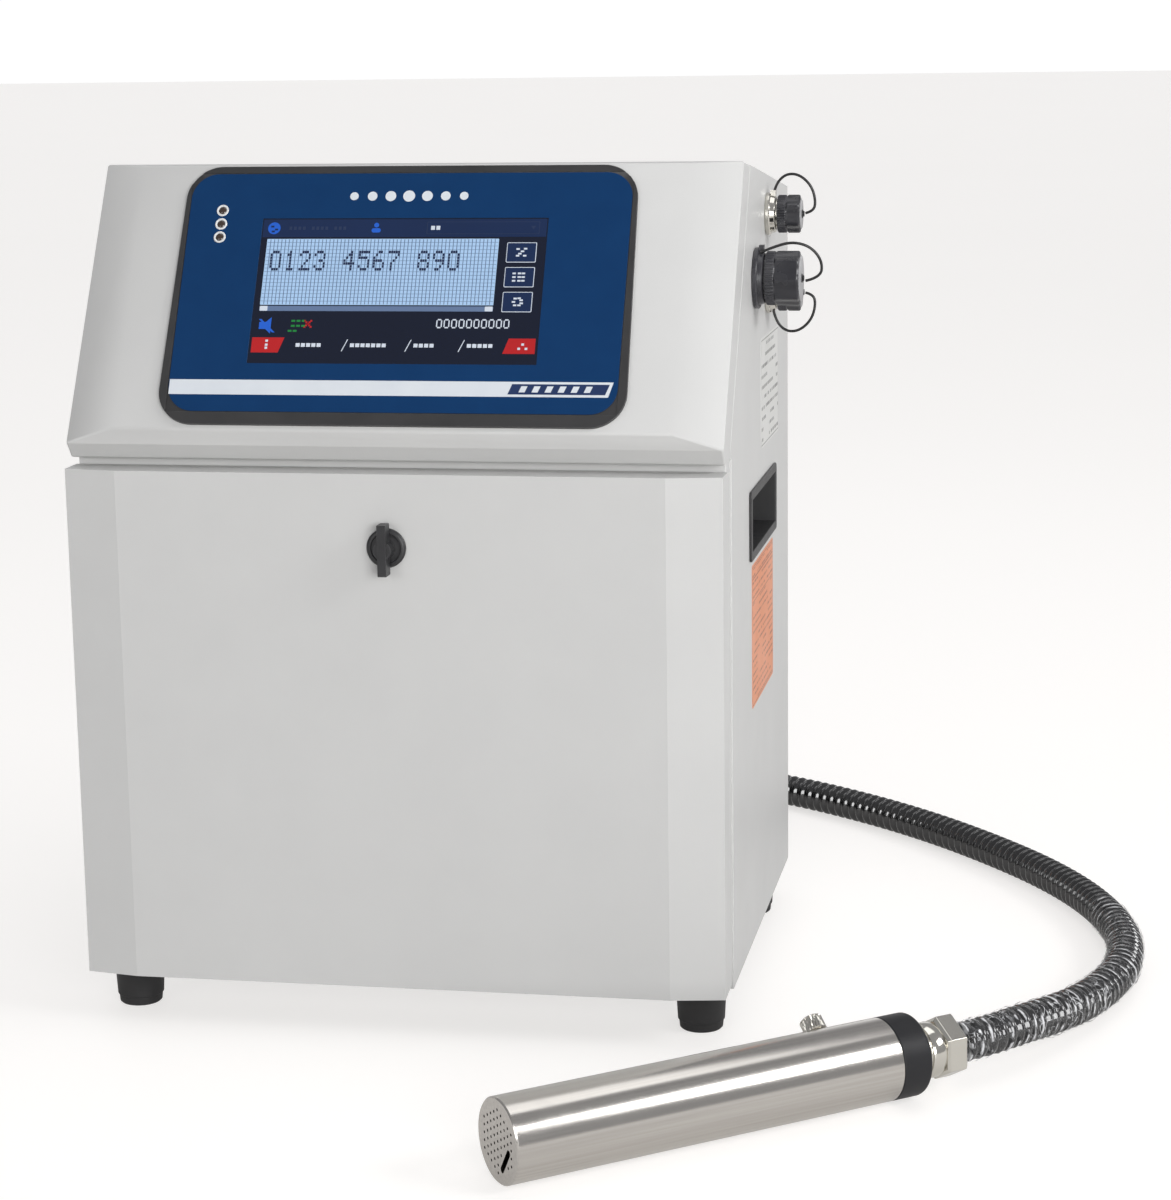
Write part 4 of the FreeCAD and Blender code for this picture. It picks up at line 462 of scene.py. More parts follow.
SCREW = Finish("screw_steel", (0.46, 0.46, 0.46), (0.34, 0.34, 0.35), (0.25, 0.4), metallic=1.0)
HEAD_TURN = 38.86
TUBE = Finish("head_stainless", (0.60, 0.575, 0.54), (0.53, 0.505, 0.475), (0.17, 0.23),
              metallic=1.0,
              brush=Brush.ACROSS, turn=-HEAD_TURN, along=30.0, across=2400.0, depth=0.000006,
              lit_worn_edge=(0.75, 0.74, 0.72), lit_worn_edge_mix=0.4)
SLEEVE = Finish("sleeve_moulding", (0.013, 0.013, 0.015), (0.018, 0.018, 0.020), (0.46, 0.56),
                grain=2400.0, depth=0.00003, lit_worn_edge=(0.10, 0.10, 0.105), lit_worn_edge_mix=0.3, shine=0.3)
CONDUIT = Finish("conduit_jacket", (0.004, 0.004, 0.0045), (0.007, 0.007, 0.0075), (0.10, 0.16),
                 grain=600.0, depth=0.00001, coat=1.0)
STRAP = Finish("strap_weave", (0.016, 0.016, 0.018), (0.035, 0.035, 0.038), (0.7, 0.9),
               grain=2400.0,
               depth=0.0004)
BOARD = Finish("board_mask", (0.010, 0.10, 0.045), (0.014, 0.13, 0.06), (0.25, 0.4), grain=700.0)
FOLDED = Finish("folded_aluminium", (0.62, 0.63, 0.64), (0.50, 0.51, 0.52), (0.28, 0.45),
                metallic=1.0,
                brush=Brush.DEEP, depth=0.00001)
BOTTLE = Finish("bottle_plastic", (0.70, 0.69, 0.63), (0.60, 0.59, 0.54), (0.3, 0.45), grain=420.0,
                depth=0.00005, coat=0.1)
CAP_BLUE = Finish("bottle_cap_blue", (0.012, 0.065, 0.30), (0.016, 0.08, 0.35), (0.3, 0.45),
                  grain=2400.0,
                  lit_worn_edge=(0.1, 0.2, 0.5), lit_worn_edge_mix=0.4)
HOSE = Finish("hose_plastic", (0.55, 0.58, 0.55), (0.45, 0.48, 0.45), (0.15, 0.3), grain=400.0,
              coat=0.3)
CERAMIC = Finish("machined_block", (0.66, 0.64, 0.58), (0.58, 0.56, 0.50), (0.35, 0.5),
                 grain=1500.0)
ORANGE = Label("notice_orange", (0.80, 0.29, 0.13), (0.30, 0.07, 0.03), 0.0042, 0.17, 520.0,
               (0.024, 0.2075), (0.050, 0.0425), ((0.0335, 0.0345), (0.020, 0.0206)))
WHITE = Label("notice_white", (0.74, 0.74, 0.72), (0.10, 0.10, 0.10), 0.0062, 0.16, 420.0,
              (0.0615, 0.3445), (0.0425, 0.0325))
# The second number is the opacity of the painted highlights on the film's creases.
FILM = Wrap("wrap_film", 0.022, 0.85)


def glowing(name: str, colour: Colour, strength: float) -> Finish:
    """Return the finish of something that the display shows."""
    shade = tuple(0.9 * c for c in colour)
    return Finish(name, colour, shade, (0.22, 0.26), grain=700.0, depth=0.000001, glow=strength)


NAVY = glowing("display_navy", (0.0012, 0.004, 0.016), 0.3)
PALE = glowing("display_pale", (0.255, 0.375, 0.53), 0.66)
GRID = glowing("display_grid", (0.10, 0.15, 0.26), 0.3)
INK = glowing("display_ink", (0.012, 0.02, 0.06), 0.2)
BAR = glowing("display_bar", (0.003, 0.014, 0.055), 0.4)
TAB = glowing("display_tab", (0.012, 0.024, 0.065), 0.4)
PALE_INK = glowing("display_white", (0.44, 0.48, 0.54), 0.55)
RED = glowing("display_red", (0.34, 0.008, 0.010), 0.45)
GREEN = glowing("display_green", (0.008, 0.16, 0.03), 0.4)
BLUE = glowing("display_blue", (0.01, 0.08, 0.42), 0.5)
Look = Finish | Label | Wrap


# ------------------------------------------------------------------------------ meshes
def finished(name: str, bm: BMesh, sharp: float = 35.0) -> Object:
    """Turn a bmesh into an object of the scene, with its normals outwards.

    Args:
        name: the object's name.
        bm: the mesh, which is used up.
        sharp: edges that turn more than this many degrees stay sharp.

    Returns:
        The object.
    """
    bmesh.ops.remove_doubles(bm, verts=bm.verts, dist=1e-7)
    bmesh.ops.recalc_face_normals(bm, faces=bm.faces)
    mesh = bpy.data.meshes.new(name)
    bm.to_mesh(mesh)
    bm.free()
    for face in mesh.polygons:
        face.use_smooth = True
    mesh.set_sharp_from_angle(angle=math.radians(sharp))
    return linked(name, mesh)


def linked(name: str, data: bpy.types.ID) -> Object:
    """Put a mesh or curve in the scene as an object."""
    piece = bpy.data.objects.new(name, data)
    bpy.context.scene.collection.objects.link(piece)
    return piece


def rounded(piece: Object, width: float, segments: int = 2) -> Object:
    """Round a piece's sharp edges with a Bevel modifier."""
    bevel = piece.modifiers.new("Rounding", "BEVEL")
    bevel.width = width
    bevel.segments = segments
    bevel.limit_method = "ANGLE"
    bevel.angle_limit = math.radians(30)
    bevel.harden_normals = True
    return piece


def bridge(bm: BMesh, low: list[BMVert],
           high: list[BMVert]) -> None:
    """Join two rings of vertices, either of which may be a single pole."""
    count = max(len(low), len(high))
    for index in range(count):
        corners = [low[index % len(low)], low[(index + 1) % len(low)],
                   high[(index + 1) % len(high)], high[index % len(high)]]
        bm.faces.new(list(dict.fromkeys(corners)))


@dataclass(frozen=True)
class Ring:
    """One ring of a turned piece: how far along, how wide and how deep its flutes are."""

    along: float
    radius: float
    flute: float = 0.0


def ringed(*rows: tuple[float, ...], unit: float = MM) -> list[Ring]:
    """Return rings from rows of along, radius and, where there are flutes, their depth."""
    return [Ring(*(number * unit for number in row)) for row in rows]


def turned(rings: Sequence[Ring], sides: int = 64, flutes: int = 0, twist: float = 0.0,
           hollow: bool = False, power: float = 1.0) -> BMesh:
    """Make a turned or fluted piece about +Z.

    Args:
        rings: its outline from one end to the other.
        sides: faces round it.
        flutes: grooves round it.
        twist: radians that the grooves turn by for each metre along.
        hollow: joins the last ring to the first, and leaves out the end faces.
        power: sharpness of the ribs between the flutes.

    Returns:
        The mesh.
    """
    bm = bmesh.new()
    made = []
    for ring in rings:
        if ring.radius < TINY:
            made.append([bm.verts.new((0.0, 0.0, ring.along))])
            continue
        row = []
        for index in range(sides):
            angle = 2 * math.pi * index / sides
            wave = 0.5 - 0.5 * math.cos(flutes * angle + twist * ring.along)
            reach = ring.radius - ring.flute * wave ** power
            row.append(bm.verts.new((reach * math.cos(angle), reach * math.sin(angle), ring.along)))
        made.append(row)
    for low, high in zip(made, made[1:]):
        bridge(bm, low, high)
    if hollow:
        bridge(bm, made[-1], made[0])
    else:
        for row in (made[0], made[-1]):
            if len(row) > 2:
                bm.faces.new(row)
    return bm


def slab(outline: Sequence[Point], low: float, high: float) -> BMesh:
    """Make a plate from its outline in X and Y, between two heights."""
    bm = bmesh.new()
    rows = [[bm.verts.new((x, y, z)) for x, y in outline] for z in (low, high)]
    bridge(bm, *rows)
    for row in rows:
        bm.faces.new(row)
    return bm


def rounded_outline(half: Point, radius: float, steps: int = 6) -> list[Point]:
    """Return a rectangle's outline about the origin, with round corners."""
    corners = [(1, 1), (-1, 1), (-1, -1), (1, -1)]
    points = []
    for turn, (across, up) in enumerate(corners):
        for step in range(steps + 1):
            angle = math.pi / 2 * (turn + step / steps)
            points.append((across * (half[0] - radius) + radius * math.cos(angle),
                           up * (half[1] - radius) + radius * math.sin(angle)))
    return points


def joined(meshes: Sequence[BMesh]) -> BMesh:
    """Put several meshes in one, as they are."""
    whole = bmesh.new()
    for bm in meshes:
        part = bpy.data.meshes.new("part")
        bm.to_mesh(part)
        bm.free()
        whole.from_mesh(part)
        bpy.data.meshes.remove(part)
    return whole


def placed(bm: BMesh, matrix: Matrix) -> BMesh:
    """Move a mesh by a matrix."""
    bmesh.ops.transform(bm, matrix=matrix, verts=bm.verts)
    return bm


def pointing(centre: Vector, axis: Vector, up: Vector = Vector((0, 0, 1))) -> Matrix:
    """Return the matrix that lays +Z along axis at centre, with +X as near up as it goes."""
    ahead = axis.normalized()
    side = up.cross(ahead).normalized()
    turn = Matrix((side.cross(ahead) * -1, side, ahead)).transposed().to_4x4()
    return Matrix.Translation(centre) @ turn


def node_copy(node: str, name: str) -> Object:
    """Return a merged copy of a CAD node's mesh, its flat faces whole."""
    bm = bmesh.new()
    bm.from_mesh(frame["nodes"][node].data)
    bmesh.ops.remove_doubles(bm, verts=bm.verts, dist=1e-6)
    bmesh.ops.dissolve_limit(bm, angle_limit=math.radians(0.6), verts=bm.verts, edges=bm.edges)
    return finished(name, bm, 30.0)


def heading(points: Sequence[Vector], index: int) -> Vector:
    """Return the way that a path runs at one of its points."""
    return (points[min(index + 1, len(points) - 1)] - points[max(index - 1, 0)]).normalized()


def swept(points: Sequence[Vector], radius: Callable[[float, float], float],
          sides: int = 20) -> BMesh:
    """Make a tube along a path.

    Args:
        points: the path.
        radius: the radius at a length along the path and an angle round it.
        sides: faces round it.

    Returns:
        The closed mesh.
    """
    bm = bmesh.new()
    made, length, side = [], 0.0, Vector((0, 0, 1))
    for index, spot in enumerate(points):
        ahead = heading(points, index)
        side = (side - side.dot(ahead) * ahead).normalized()
        other = ahead.cross(side)
        length += (spot - points[index - 1]).length if index else 0.0
        row = []
        for turn in range(sides):
            angle = 2 * math.pi * turn / sides
            way = math.cos(angle) * side + math.sin(angle) * other
            row.append(bm.verts.new(spot + radius(length, angle) * way))
        made.append(row)
    for low, high in zip(made, made[1:]):
        bridge(bm, low, high)
    for row in (made[0], made[-1]):
        bm.faces.new(row)
    return bm


# ------------------------------------------------------------------------------ geometry nodes
class Tool:
    """A Geometry Nodes tree that is run on a host once and leaves a plain mesh."""

    def __init__(self, name: str, inputs: Sequence[Plug],
                 fill: Callable[[Graph, Node], NodeSocket]) -> None:
        """Build the tree.

        Args:
            name: the tree's name.
            inputs: its named inputs after the geometry.
            fill: puts its nodes in and returns the geometry that it ends with.
        """

        def whole(graph: Graph, source: Node, sink: Node) -> None:
            real = graph.add("GeometryNodeRealizeInstances", {"Geometry": fill(graph, source)})
            dressed = graph.add("GeometryNodeSetMaterial", {"Geometry": real.outputs[0],
                                                            "Material": source.outputs["Material"]})
            graph.feed(sink.inputs["Geometry"], dressed.outputs[0])

        plugs = [Plug("Geometry", "Geometry"), *inputs, Plug("Material", "Material")]
        self.tree = node_group(name, "GeometryNodeTree", plugs, [Plug("Geometry", "Geometry")],
                               whole)
        self.sockets = {item.name: item.identifier for item in self.tree.interface.items_tree
                        if item.in_out == "INPUT"}

    def run(self, name: str, host: bpy.types.ID, finish: Look, **values: Any) -> Object:
        """Run the tree.

        Args:
            name: the new piece's name.
            host: the mesh or curve that it starts from.
            finish: the new piece's finish.
            values: its inputs by name, with _ for spaces.

        Returns:
            The new piece, with no modifier left.
        """
        stand = linked(name + "_host", host)
        modifier = stand.modifiers.new(self.tree.name, "NODES")
        modifier.node_group = self.tree
        modifier[self.sockets["Material"]] = finish.material()
        for label, value in values.items():
            modifier[self.sockets[label.replace("_", " ")]] = value
        solved = stand.evaluated_get(bpy.context.evaluated_depsgraph_get())
        mesh = bpy.data.meshes.new_from_object(solved)
        bpy.data.objects.remove(stand)
        mesh.name = name
        return linked(name, mesh)


def repeated(graph: Graph, source: Node, part: NodeSocket) -> NodeSocket:
    """Put a part on each of the host's points."""
    return graph.add("GeometryNodeInstanceOnPoints", {"Points": source.outputs["Geometry"],
                                                      "Instance": part}).outputs[0]


def fill_blocks(graph: Graph, source: Node) -> NodeSocket:
    """A block on each of the host's points."""
    block = graph.add("GeometryNodeMeshCube", {"Size": source.outputs["Size"]})
    return repeated(graph, source, block.outputs["Mesh"])


def fill_copies(graph: Graph, source: Node) -> NodeSocket:
    """A copy of one part on each of the host's points."""
    part = graph.add("GeometryNodeObjectInfo", {"Object": source.outputs["Part"]})
    return repeated(graph, source, part.outputs["Geometry"])


def fill_corrugation(graph: Graph, source: Node) -> NodeSocket:
    """A corrugated tube along the host curve: round ridges with narrow grooves between."""
    pitch = source.outputs["Pitch"]
    step = graph.math("DIVIDE", pitch, STEPS_PER_RIDGE)
    even = graph.add("GeometryNodeResampleCurve", {"Curve": source.outputs["Geometry"],
                                                   "Length": step}, mode="LENGTH")
    along = graph.add("GeometryNodeSplineParameter").outputs["Length"]
    phase = graph.math("MULTIPLY", graph.math("DIVIDE", along, pitch), 2 * math.pi)
    wave = graph.math("ADD", graph.math("MULTIPLY", graph.math("COSINE", phase), 0.5), 0.5)
    depth = graph.math("MULTIPLY", graph.math("POWER", wave, GROOVE_POWER), source.outputs["Depth"])
    circle = graph.add("GeometryNodeCurvePrimitiveCircle", {"Resolution": source.outputs["Sides"],
                                                            "Radius": 1.0})
    skin = graph.add("GeometryNodeCurveToMesh", {
        "Curve": even.outputs[0], "Profile Curve": circle.outputs[0], "Fill Caps": True,
        "Scale": graph.math("SUBTRACT", source.outputs["Radius"], depth)})
    return graph.add("GeometryNodeSetShadeSmooth", {0: skin.outputs[0]}).outputs[0]


BLOCKS = Tool("blocks_on_points", [Plug("Size", "Vector")], fill_blocks)
COPIES = Tool("copies_on_points", [Plug("Part", "Object")], fill_copies)
CORRUGATION = Tool("corrugated_tube", [Plug("Radius"), Plug("Depth"), Plug("Pitch"),
                                       Plug("Sides", "Int", 18)], fill_corrugation)


def points_mesh(name: str, points: Sequence[Vector]) -> bpy.types.Mesh:
    """Return a mesh of loose points, for a tree to work on."""
    mesh = bpy.data.meshes.new(name)
    mesh.from_pydata([tuple(p) for p in points], [], [])
    return mesh


# ------------------------------------------------------------------------------ sub-assemblies
class SubAssembly:
    """Pieces that are made and dressed together."""

    def paint(self, piece: Object, finish: Look) -> None:
        """Give a piece one material."""
        piece.data.materials.clear()
        piece.data.materials.append(finish.material())

    def dress(self, piece: Object, finish: Look | None, *nodes: str,
              body: str = "", slot: str = "") -> Object:
        """Give a piece its finish, its body and the nodes that it stands for.

        Args:
            piece: the finished piece.
            finish: its finish, or None to keep the material that it has.
            nodes: the CAD nodes that it stands for.
            body: the body that it rides on, where it stands for no node.
            slot: not used.

        Returns:
            The piece.
        """
        if finish is not None:
            self.paint(piece, finish)
        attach(piece, body or BODY_OF[nodes[0]])
        if nodes:
            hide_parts(*nodes)
        LOG.info("%s on %s", piece.name, body or BODY_OF[nodes[0]])
        return piece

    def lay(self, name: str, bm: BMesh, matrix: Matrix, finish: Look, *nodes: str,
            body: str = "", slot: str = "", sharp: float = 35.0) -> None:
        """Finish a mesh as a piece that a matrix puts in its place, and dress it."""
        piece = finished(name, placed(bm, matrix), sharp)
        self.dress(piece, finish, *nodes, body=body, slot=slot)

    def soften(self, node: str, finish: Look, width: float = 0.6, segments: int = 2) -> Object:
        """Stand a copy of a CAD node in for it, with its edges rounded by width in millimetres."""
        piece = rounded(node_copy(node, node + "_piece"), width * MM, segments)
        return self.dress(piece, finish, node)

    def keep(self, node: str, finish: Look) -> None:
        """Keep a CAD node as it is, in a better material."""
        self.paint(frame["nodes"][node], finish)
        LOG.info("%s kept", node)

    def build(self) -> None:
        """Make every piece."""
        raise NotImplementedError


@dataclass
class Route:
    """A cord's line: a NURBS spline through the air and along the floor, in millimetres."""

    name: str
    points: Sequence[Place]

    def curve(self, radius: float = 0.0) -> Object:
        """Return the spline as a curve object, with a round bevel if radius is given in metres."""
        data = bpy.data.curves.new(self.name, "CURVE")
        data.dimensions = "3D"
        spline = data.splines.new("NURBS")
        spline.points.add(len(self.points) - 1)
        for point, place in zip(spline.points, self.points):
            point.co = (*(MM * c for c in place), 1.0)
        spline.order_u = 3
        spline.use_endpoint_u = True
        spline.resolution_u = 12
        data.bevel_depth = radius
        data.bevel_resolution = 4
        data.use_fill_caps = True
        return linked(self.name, data)

    def line(self) -> list[Vector]:
        """Return the points that the spline runs through."""
        bare = self.curve()
        mesh = bpy.data.meshes.new_from_object(bare)
        bpy.data.objects.remove(bare)
        points = [vertex.co.copy() for vertex in mesh.vertices]
        bpy.data.meshes.remove(mesh)
        return points


def length_of(points: Sequence[Vector]) -> float:
    """Return the length of a line of points."""
    return sum((b - a).length for a, b in zip(points, points[1:]))


@dataclass
class Conduit(SubAssembly):
    """Corrugated conduit from the cabinet's back to the print head, with its coil and straps."""

    diameter: float = 22.0
    ridge_pitch: float = 7.0
    ridge_depth: float = 2.6
    coil_centre: Point = (35.0, 288.0)
    coil_radius: float = 110.0
    coil_start: float = 56.0
    coil_end: float = 11.0
    out_radius: float = 124.0
    turns: int = 2
    steps: int = 16
    coil_lead: tuple = (-76.0, 288.0, 57.0)
    wrap_length: float = 0.31
    wrap_step: float = 2.0
    wrap_gap: float = 0.2
    wrap_ridge: float = 0.35
    wrap_crinkle: float = 1.2
    wrap_sides: int = 28
    crinkle_scale: Place = (150.0, 0.6, 1.1)
    wound_scale: float = 1.3
    lead_in: tuple = ((-75.0, 187.0, 85.0), (-75.5, 215.0, 83.0), (-74.0, 243.0, 73.0),
                      (-72.0, 268.0, 63.0))
    run: tuple = ((35.0, 412.0, 11.0), (104.0, 400.0, 11.0), (166.0, 369.0, 11.0),
                  (222.0, 328.0, 11.0), (272.0, 282.0, 11.0), (316.0, 231.0, 11.0),
                  (353.0, 180.0, 11.0), (380.0, 129.0, 11.0), (397.0, 78.0, 11.0),
                  (403.5, 34.0, 11.0), (401.0, -8.0, 11.0), (391.5, -47.0, 11.8),
                  (378.5, -83.0, 14.0), (362.0, -115.0, 17.0), (345.5, -143.0, 20.5),
                  (330.0, -167.5, 22.2), (312.3, -183.5, 22.2))

    def coil(self) -> list[Place]:
        """Return the coil's points: its turns going down, then a quarter turn outwards."""
        count = self.turns * self.steps
        stretch = 1 / math.cos(math.pi / self.steps)
        points = []
        for index in range(1, count + self.steps // 4):
            turn = index / self.steps
            down = min(1.0, turn / self.turns)
            out = max(0.0, (index - count) / (self.steps / 4))
            radius = stretch * (self.coil_radius + (self.out_radius - self.coil_radius) * out)
            angle = math.pi - 2 * math.pi * turn
            points.append((self.coil_centre[0] + radius * math.cos(angle),
                           self.coil_centre[1] + radius * math.sin(angle),
                           self.coil_start + (self.coil_end - self.coil_start) * down))
        return points

    def build(self) -> None:
        """Make the conduit, its straps and its film."""
        route = Route("conduit_line", [*self.lead_in, self.coil_lead, *self.coil(), *self.run])
        line = route.line()
        host = route.curve()
        tube = CORRUGATION.run("conduit", host.data, CONDUIT, Radius=self.diameter * MM / 2,
                               Depth=self.ridge_depth * MM, Pitch=self.ridge_pitch * MM, Sides=18)
        bpy.data.objects.remove(host)
        self.dress(tube, None, "conduit_lead_in", "conduit_coil", "conduit_run")
        straps = rounded(node_copy("coil_ties", "coil_straps"), 0.4 * MM)
        self.dress(straps, STRAP, "coil_ties")
        film = self.dress(self.film(line), FILM, body="cabinet", slot="conduit_black")
        LOG.info("conduit is %.3f m long", length_of(line))

    def film(self, line: Sequence[Vector]) -> Object:
        """Return the clear film that is wound on the head's end of the conduit."""
        length, points = 0.0, [line[-1]]
        for spot in reversed(line[:-1]):
            previous = points[-1]
            gap = (spot - previous).length
            if gap < 0.7 * MM:
                continue
            steps = max(1, round(gap / (self.wrap_step * MM)))
            points += [previous.lerp(spot, step / steps) for step in range(1, steps + 1)]
            length += gap
            if length > self.wrap_length:
                break

        def reach(along: float, angle: float) -> float:
            length_scale, turn_scale, around = self.crinkle_scale
            spot = Vector((along * length_scale + turn_scale * angle, around * math.cos(angle),
                           around * math.sin(angle)))
            ridge = self.wrap_ridge * math.cos(2 * math.pi * along / (self.ridge_pitch * MM))
            crinkle = self.wrap_crinkle * abs(noise.noise(spot)) ** 1.2
            return (self.diameter / 2 + self.wrap_gap + ridge + crinkle) * MM

        piece = finished("conduit_film", swept(points[2:], reach, self.wrap_sides), 60.0)
        for vertex in piece.data.vertices:
            vertex.co.z = max(vertex.co.z, 0.1 * MM)
        self.mark_winding(piece.data, points[2:], length_of(line))
        return piece

    def mark_winding(self, mesh: bpy.types.Mesh, points: Sequence[Vector], whole: float) -> None:
        """Store where each vertex of the film lies: ridges along the conduit, and the way round it.

        Args:
            mesh: the film's mesh.
            points: the film's middle line, from the head's end.
            whole: the conduit's length.
        """
        marks = mesh.attributes.new("wound", "FLOAT_VECTOR", "POINT")
        tree = KDTree(len(points))
        lengths = [0.0]
        for index, spot in enumerate(points):
            tree.insert(spot, index)
            if index:
                lengths.append(lengths[-1] + (spot - points[index - 1]).length)
        tree.balance()
        for vertex in mesh.vertices:
            spot, index, _ = tree.find(vertex.co)
            ahead = heading(points, index)
            away = (vertex.co - spot).normalized()
            up = away.z
            side = away.dot(ahead.cross(Vector((0, 0, 1))).normalized())
            along = lengths[index] + (vertex.co - spot).dot(ahead)
            ridges = (whole - along) / (self.ridge_pitch * MM)
            marks.data[vertex.index].vector = (ridges, self.wound_scale * up,
                                               self.wound_scale * side)


@dataclass
class Connectors(SubAssembly):
    """Three capped connectors on the right side, with the lanyards of their caps."""

    lanyard: float = 1.6
    rib_count: int = 44
    shells: tuple = (("large", 17.5, 13.0), ("upper", 12.5, 9.0), ("lower", 12.5, 9.0))
    caps: tuple = (("large", 15.6, 27.0, 8), ("upper", 11.2, 21.0, 6), ("lower", 11.2, 21.0, 6))
    cap_start: float = 7.0
    cap_rim: float = 5.2
    small_route: tuple = ((4.0, 0.0, -11.0), (5.5, 0.0, -17.5), (11.5, 0.0, -23.5),
                          (19.5, 0.0, -23.0), (26.5, 0.0, -16.5), (29.0, 0.0, -8.0),
                          (28.0, 0.0, -1.5), (23.0, 0.0, -0.4))
    large_route: tuple = ((3.8, -6.0, 15.0), (14.5, -6.0, 19.6), (24.5, -5.5, 21.0),
                          (33.5, -4.0, 17.5), (39.0, -2.0, 9.5), (38.0, -0.5, 0.5),
                          (29.2, 0.0, -1.5))

    def socket_axis(self, cap: str) -> Vector:
        """Return where a cap's axis meets the cabinet's side, in metres."""
        low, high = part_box(cap)
        return Vector((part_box("right_side_panel")[1].x, (low.y + high.y) / 2, (low.z + high.z) / 2))

    def lanyards(self) -> None:
        """Make the three lanyards, which are cords from a flange to the end of a cap."""
        over = tuple((out, along, -up) for out, along, up in self.small_route)
        routes = {"upper": over, "lower": self.small_route, "large": self.large_route}
        for size, route in routes.items():
            start = self.socket_axis(f"{size}_cap") / MM
            points = [tuple(start + Vector(p)) for p in route]
            line = Route(f"{size}_lanyard_line", points)
            cord = line.curve(self.lanyard / 2 * MM)
            cord.name = f"{size}_cap_lanyard"
            self.dress(cord, CORD, f"{size}_lanyard")
            path = line.line()

    def plane(self, size: str) -> Matrix:
        """Return the matrix that lays +Z along a connector, from the cabinet's side."""
        return pointing(self.socket_axis(f"{size}_cap"), Vector((1, 0, 0)))

    def shell(self, size: str, flange: float, thread: float) -> Object:
        """Return one fixed shell: its flange, stepped collar, barrel and lug."""
        shell = turned(ringed((-4, 0), (-4, thread - 2), (0, thread - 2), (0, flange - 0.6),
                              (0.6, flange), (2.4, flange), (3.0, flange - 0.6),
                              (3.0, thread + 2.2), (5.4, thread + 1.8), (6.0, thread + 1.2),
                              (6.2, thread - 0.4), (16.5, thread - 0.4), (17, 0)), 72)
        end = flange + 1.5
        outline = [(thread, -2.6), (end, -2.2), (end, 2.2), (thread, 2.6)]
        lug = slab([(x * MM, y * MM) for x, y in outline], 2.6 * MM, 5.6 * MM)
        return finished(f"{size}_socket_shell", placed(joined([shell, lug]), self.plane(size)))

    def cap(self, size: str, radius: float, reach: float, lobes: int) -> None:
        """Make one cap: a ribbed rim, broad flats, a pale end plate and an eyelet."""
        start, inner, body = self.cap_start, radius - 2.4, f"{size}_cap"
        rim = start + self.cap_rim
        ribs = turned(ringed((start, inner), (start, radius - 0.7),
                             (start + 0.3, radius - 0.3, 0.4), (start + 0.7, radius - 0.1, 0.7),
                             (rim - 0.5, radius - 0.1, 0.7), (rim, radius - 0.8)),
                      6 * self.rib_count, flutes=self.rib_count)
        grip = turned(ringed((rim, radius - 1.2), (rim + 0.4, radius - 0.5, 1.1),
                             (rim + 1.0, radius, 1.7), (reach - 1.6, radius, 1.7),
                             (reach - 0.9, radius - 0.5, 1.6), (reach - 0.5, radius - 2.2, 0.3),
                             (reach - 0.5, 0)), 16 * lobes, flutes=lobes, power=0.7)
        self.lay(f"{body}_body", joined([ribs, grip]), self.plane(size), CONNECTOR, body,
                 sharp=28.0)
        plate = ringed((reach - 0.6, 0), (reach - 0.6, inner), (reach - 0.25, inner),
                       (reach - 0.05, inner - 0.3), (reach, 2.4), (reach, 0))
        button = ringed((reach - 0.1, 0), (reach - 0.1, 2.6), (reach + 0.5, 2.5),
                        (reach + 0.8, 1.5), (reach + 1.1, 1.9), (reach + 1.4, 1.6),
                        (reach + 1.5, 0))
        for name, rows, sides, finish in (("plate", plate, 64, CAP_END),
                                          ("eyelet", button, 32, BLACK)):
            self.lay(f"{body}_{name}", turned(rows, sides), self.plane(size), finish, body=body,
                     slot="black_plastic")

    def build(self) -> None:
        """Make the shells and caps."""
        large, *small = [self.shell(*size) for size in self.shells]
        self.dress(large, CONNECTOR, "socket_shells")
        for shell in small:
            self.dress(shell, NICKEL, body="cabinet", slot="nickel")
        for size in self.caps:
            self.cap(*size)


DIGIT_ROWS = {"0": (14, 17, 17, 17, 17, 17, 14), "1": (4, 12, 4, 4, 4, 4, 14),
              "2": (14, 17, 1, 2, 4, 8, 31), "3": (14, 17, 1, 6, 1, 17, 14),
              "4": (2, 6, 10, 18, 31, 2, 2), "5": (31, 16, 30, 1, 1, 17, 14),
              "6": (6, 8, 16, 30, 17, 17, 14), "7": (31, 1, 2, 4, 8, 8, 8),
              "8": (14, 17, 17, 14, 17, 17, 14), "9": (14, 17, 17, 15, 1, 2, 12)}


@dataclass
class Print(SubAssembly):
    """Thin shapes printed on one face, in layers that count up from it.

    Shapes are in millimetres in the frame of plane; ground is the face's height in metres.
    """

    prefix: str
    slot: str
    plane: Matrix
    ground: float
    thick: float = 0.12
    step: float = 0.1

    def strip(self, name: str, outline: Sequence[Point], layer: float, finish: Look) -> None:
        """Print a shape of any outline."""
        low = self.ground + layer * self.step * MM
        plate = slab([(x * MM, y * MM) for x, y in outline], low, low + self.thick * MM)
        self.lay(self.prefix + name, plate, self.plane, finish, body="cabinet", slot=self.slot)

    def patch(self, name: str, middle: Point, half: Point, radius: float, layer: float,
              finish: Look) -> None:
        """Print a rectangle of two half sizes, with round corners."""
        outline = [(middle[0] + x, middle[1] + y) for x, y in rounded_outline(half, radius)]
        self.strip(name, outline, layer, finish)

    def spread(self, name: str, spots: Sequence[Point], size: Point, layer: float,
               finish: Look) -> None:
        """Print a small block at each spot, by Geometry Nodes."""
        low = self.ground + layer * self.step * MM
        points = [Vector((x * MM, y * MM, low)) for x, y in spots]
        piece = BLOCKS.run(self.prefix + name, points_mesh(self.prefix + name, points), finish,
                           Size=(size[0] * MM, size[1] * MM, self.thick * MM))
        piece.data.transform(self.plane)
        self.dress(piece, None, body="cabinet", slot=self.slot)


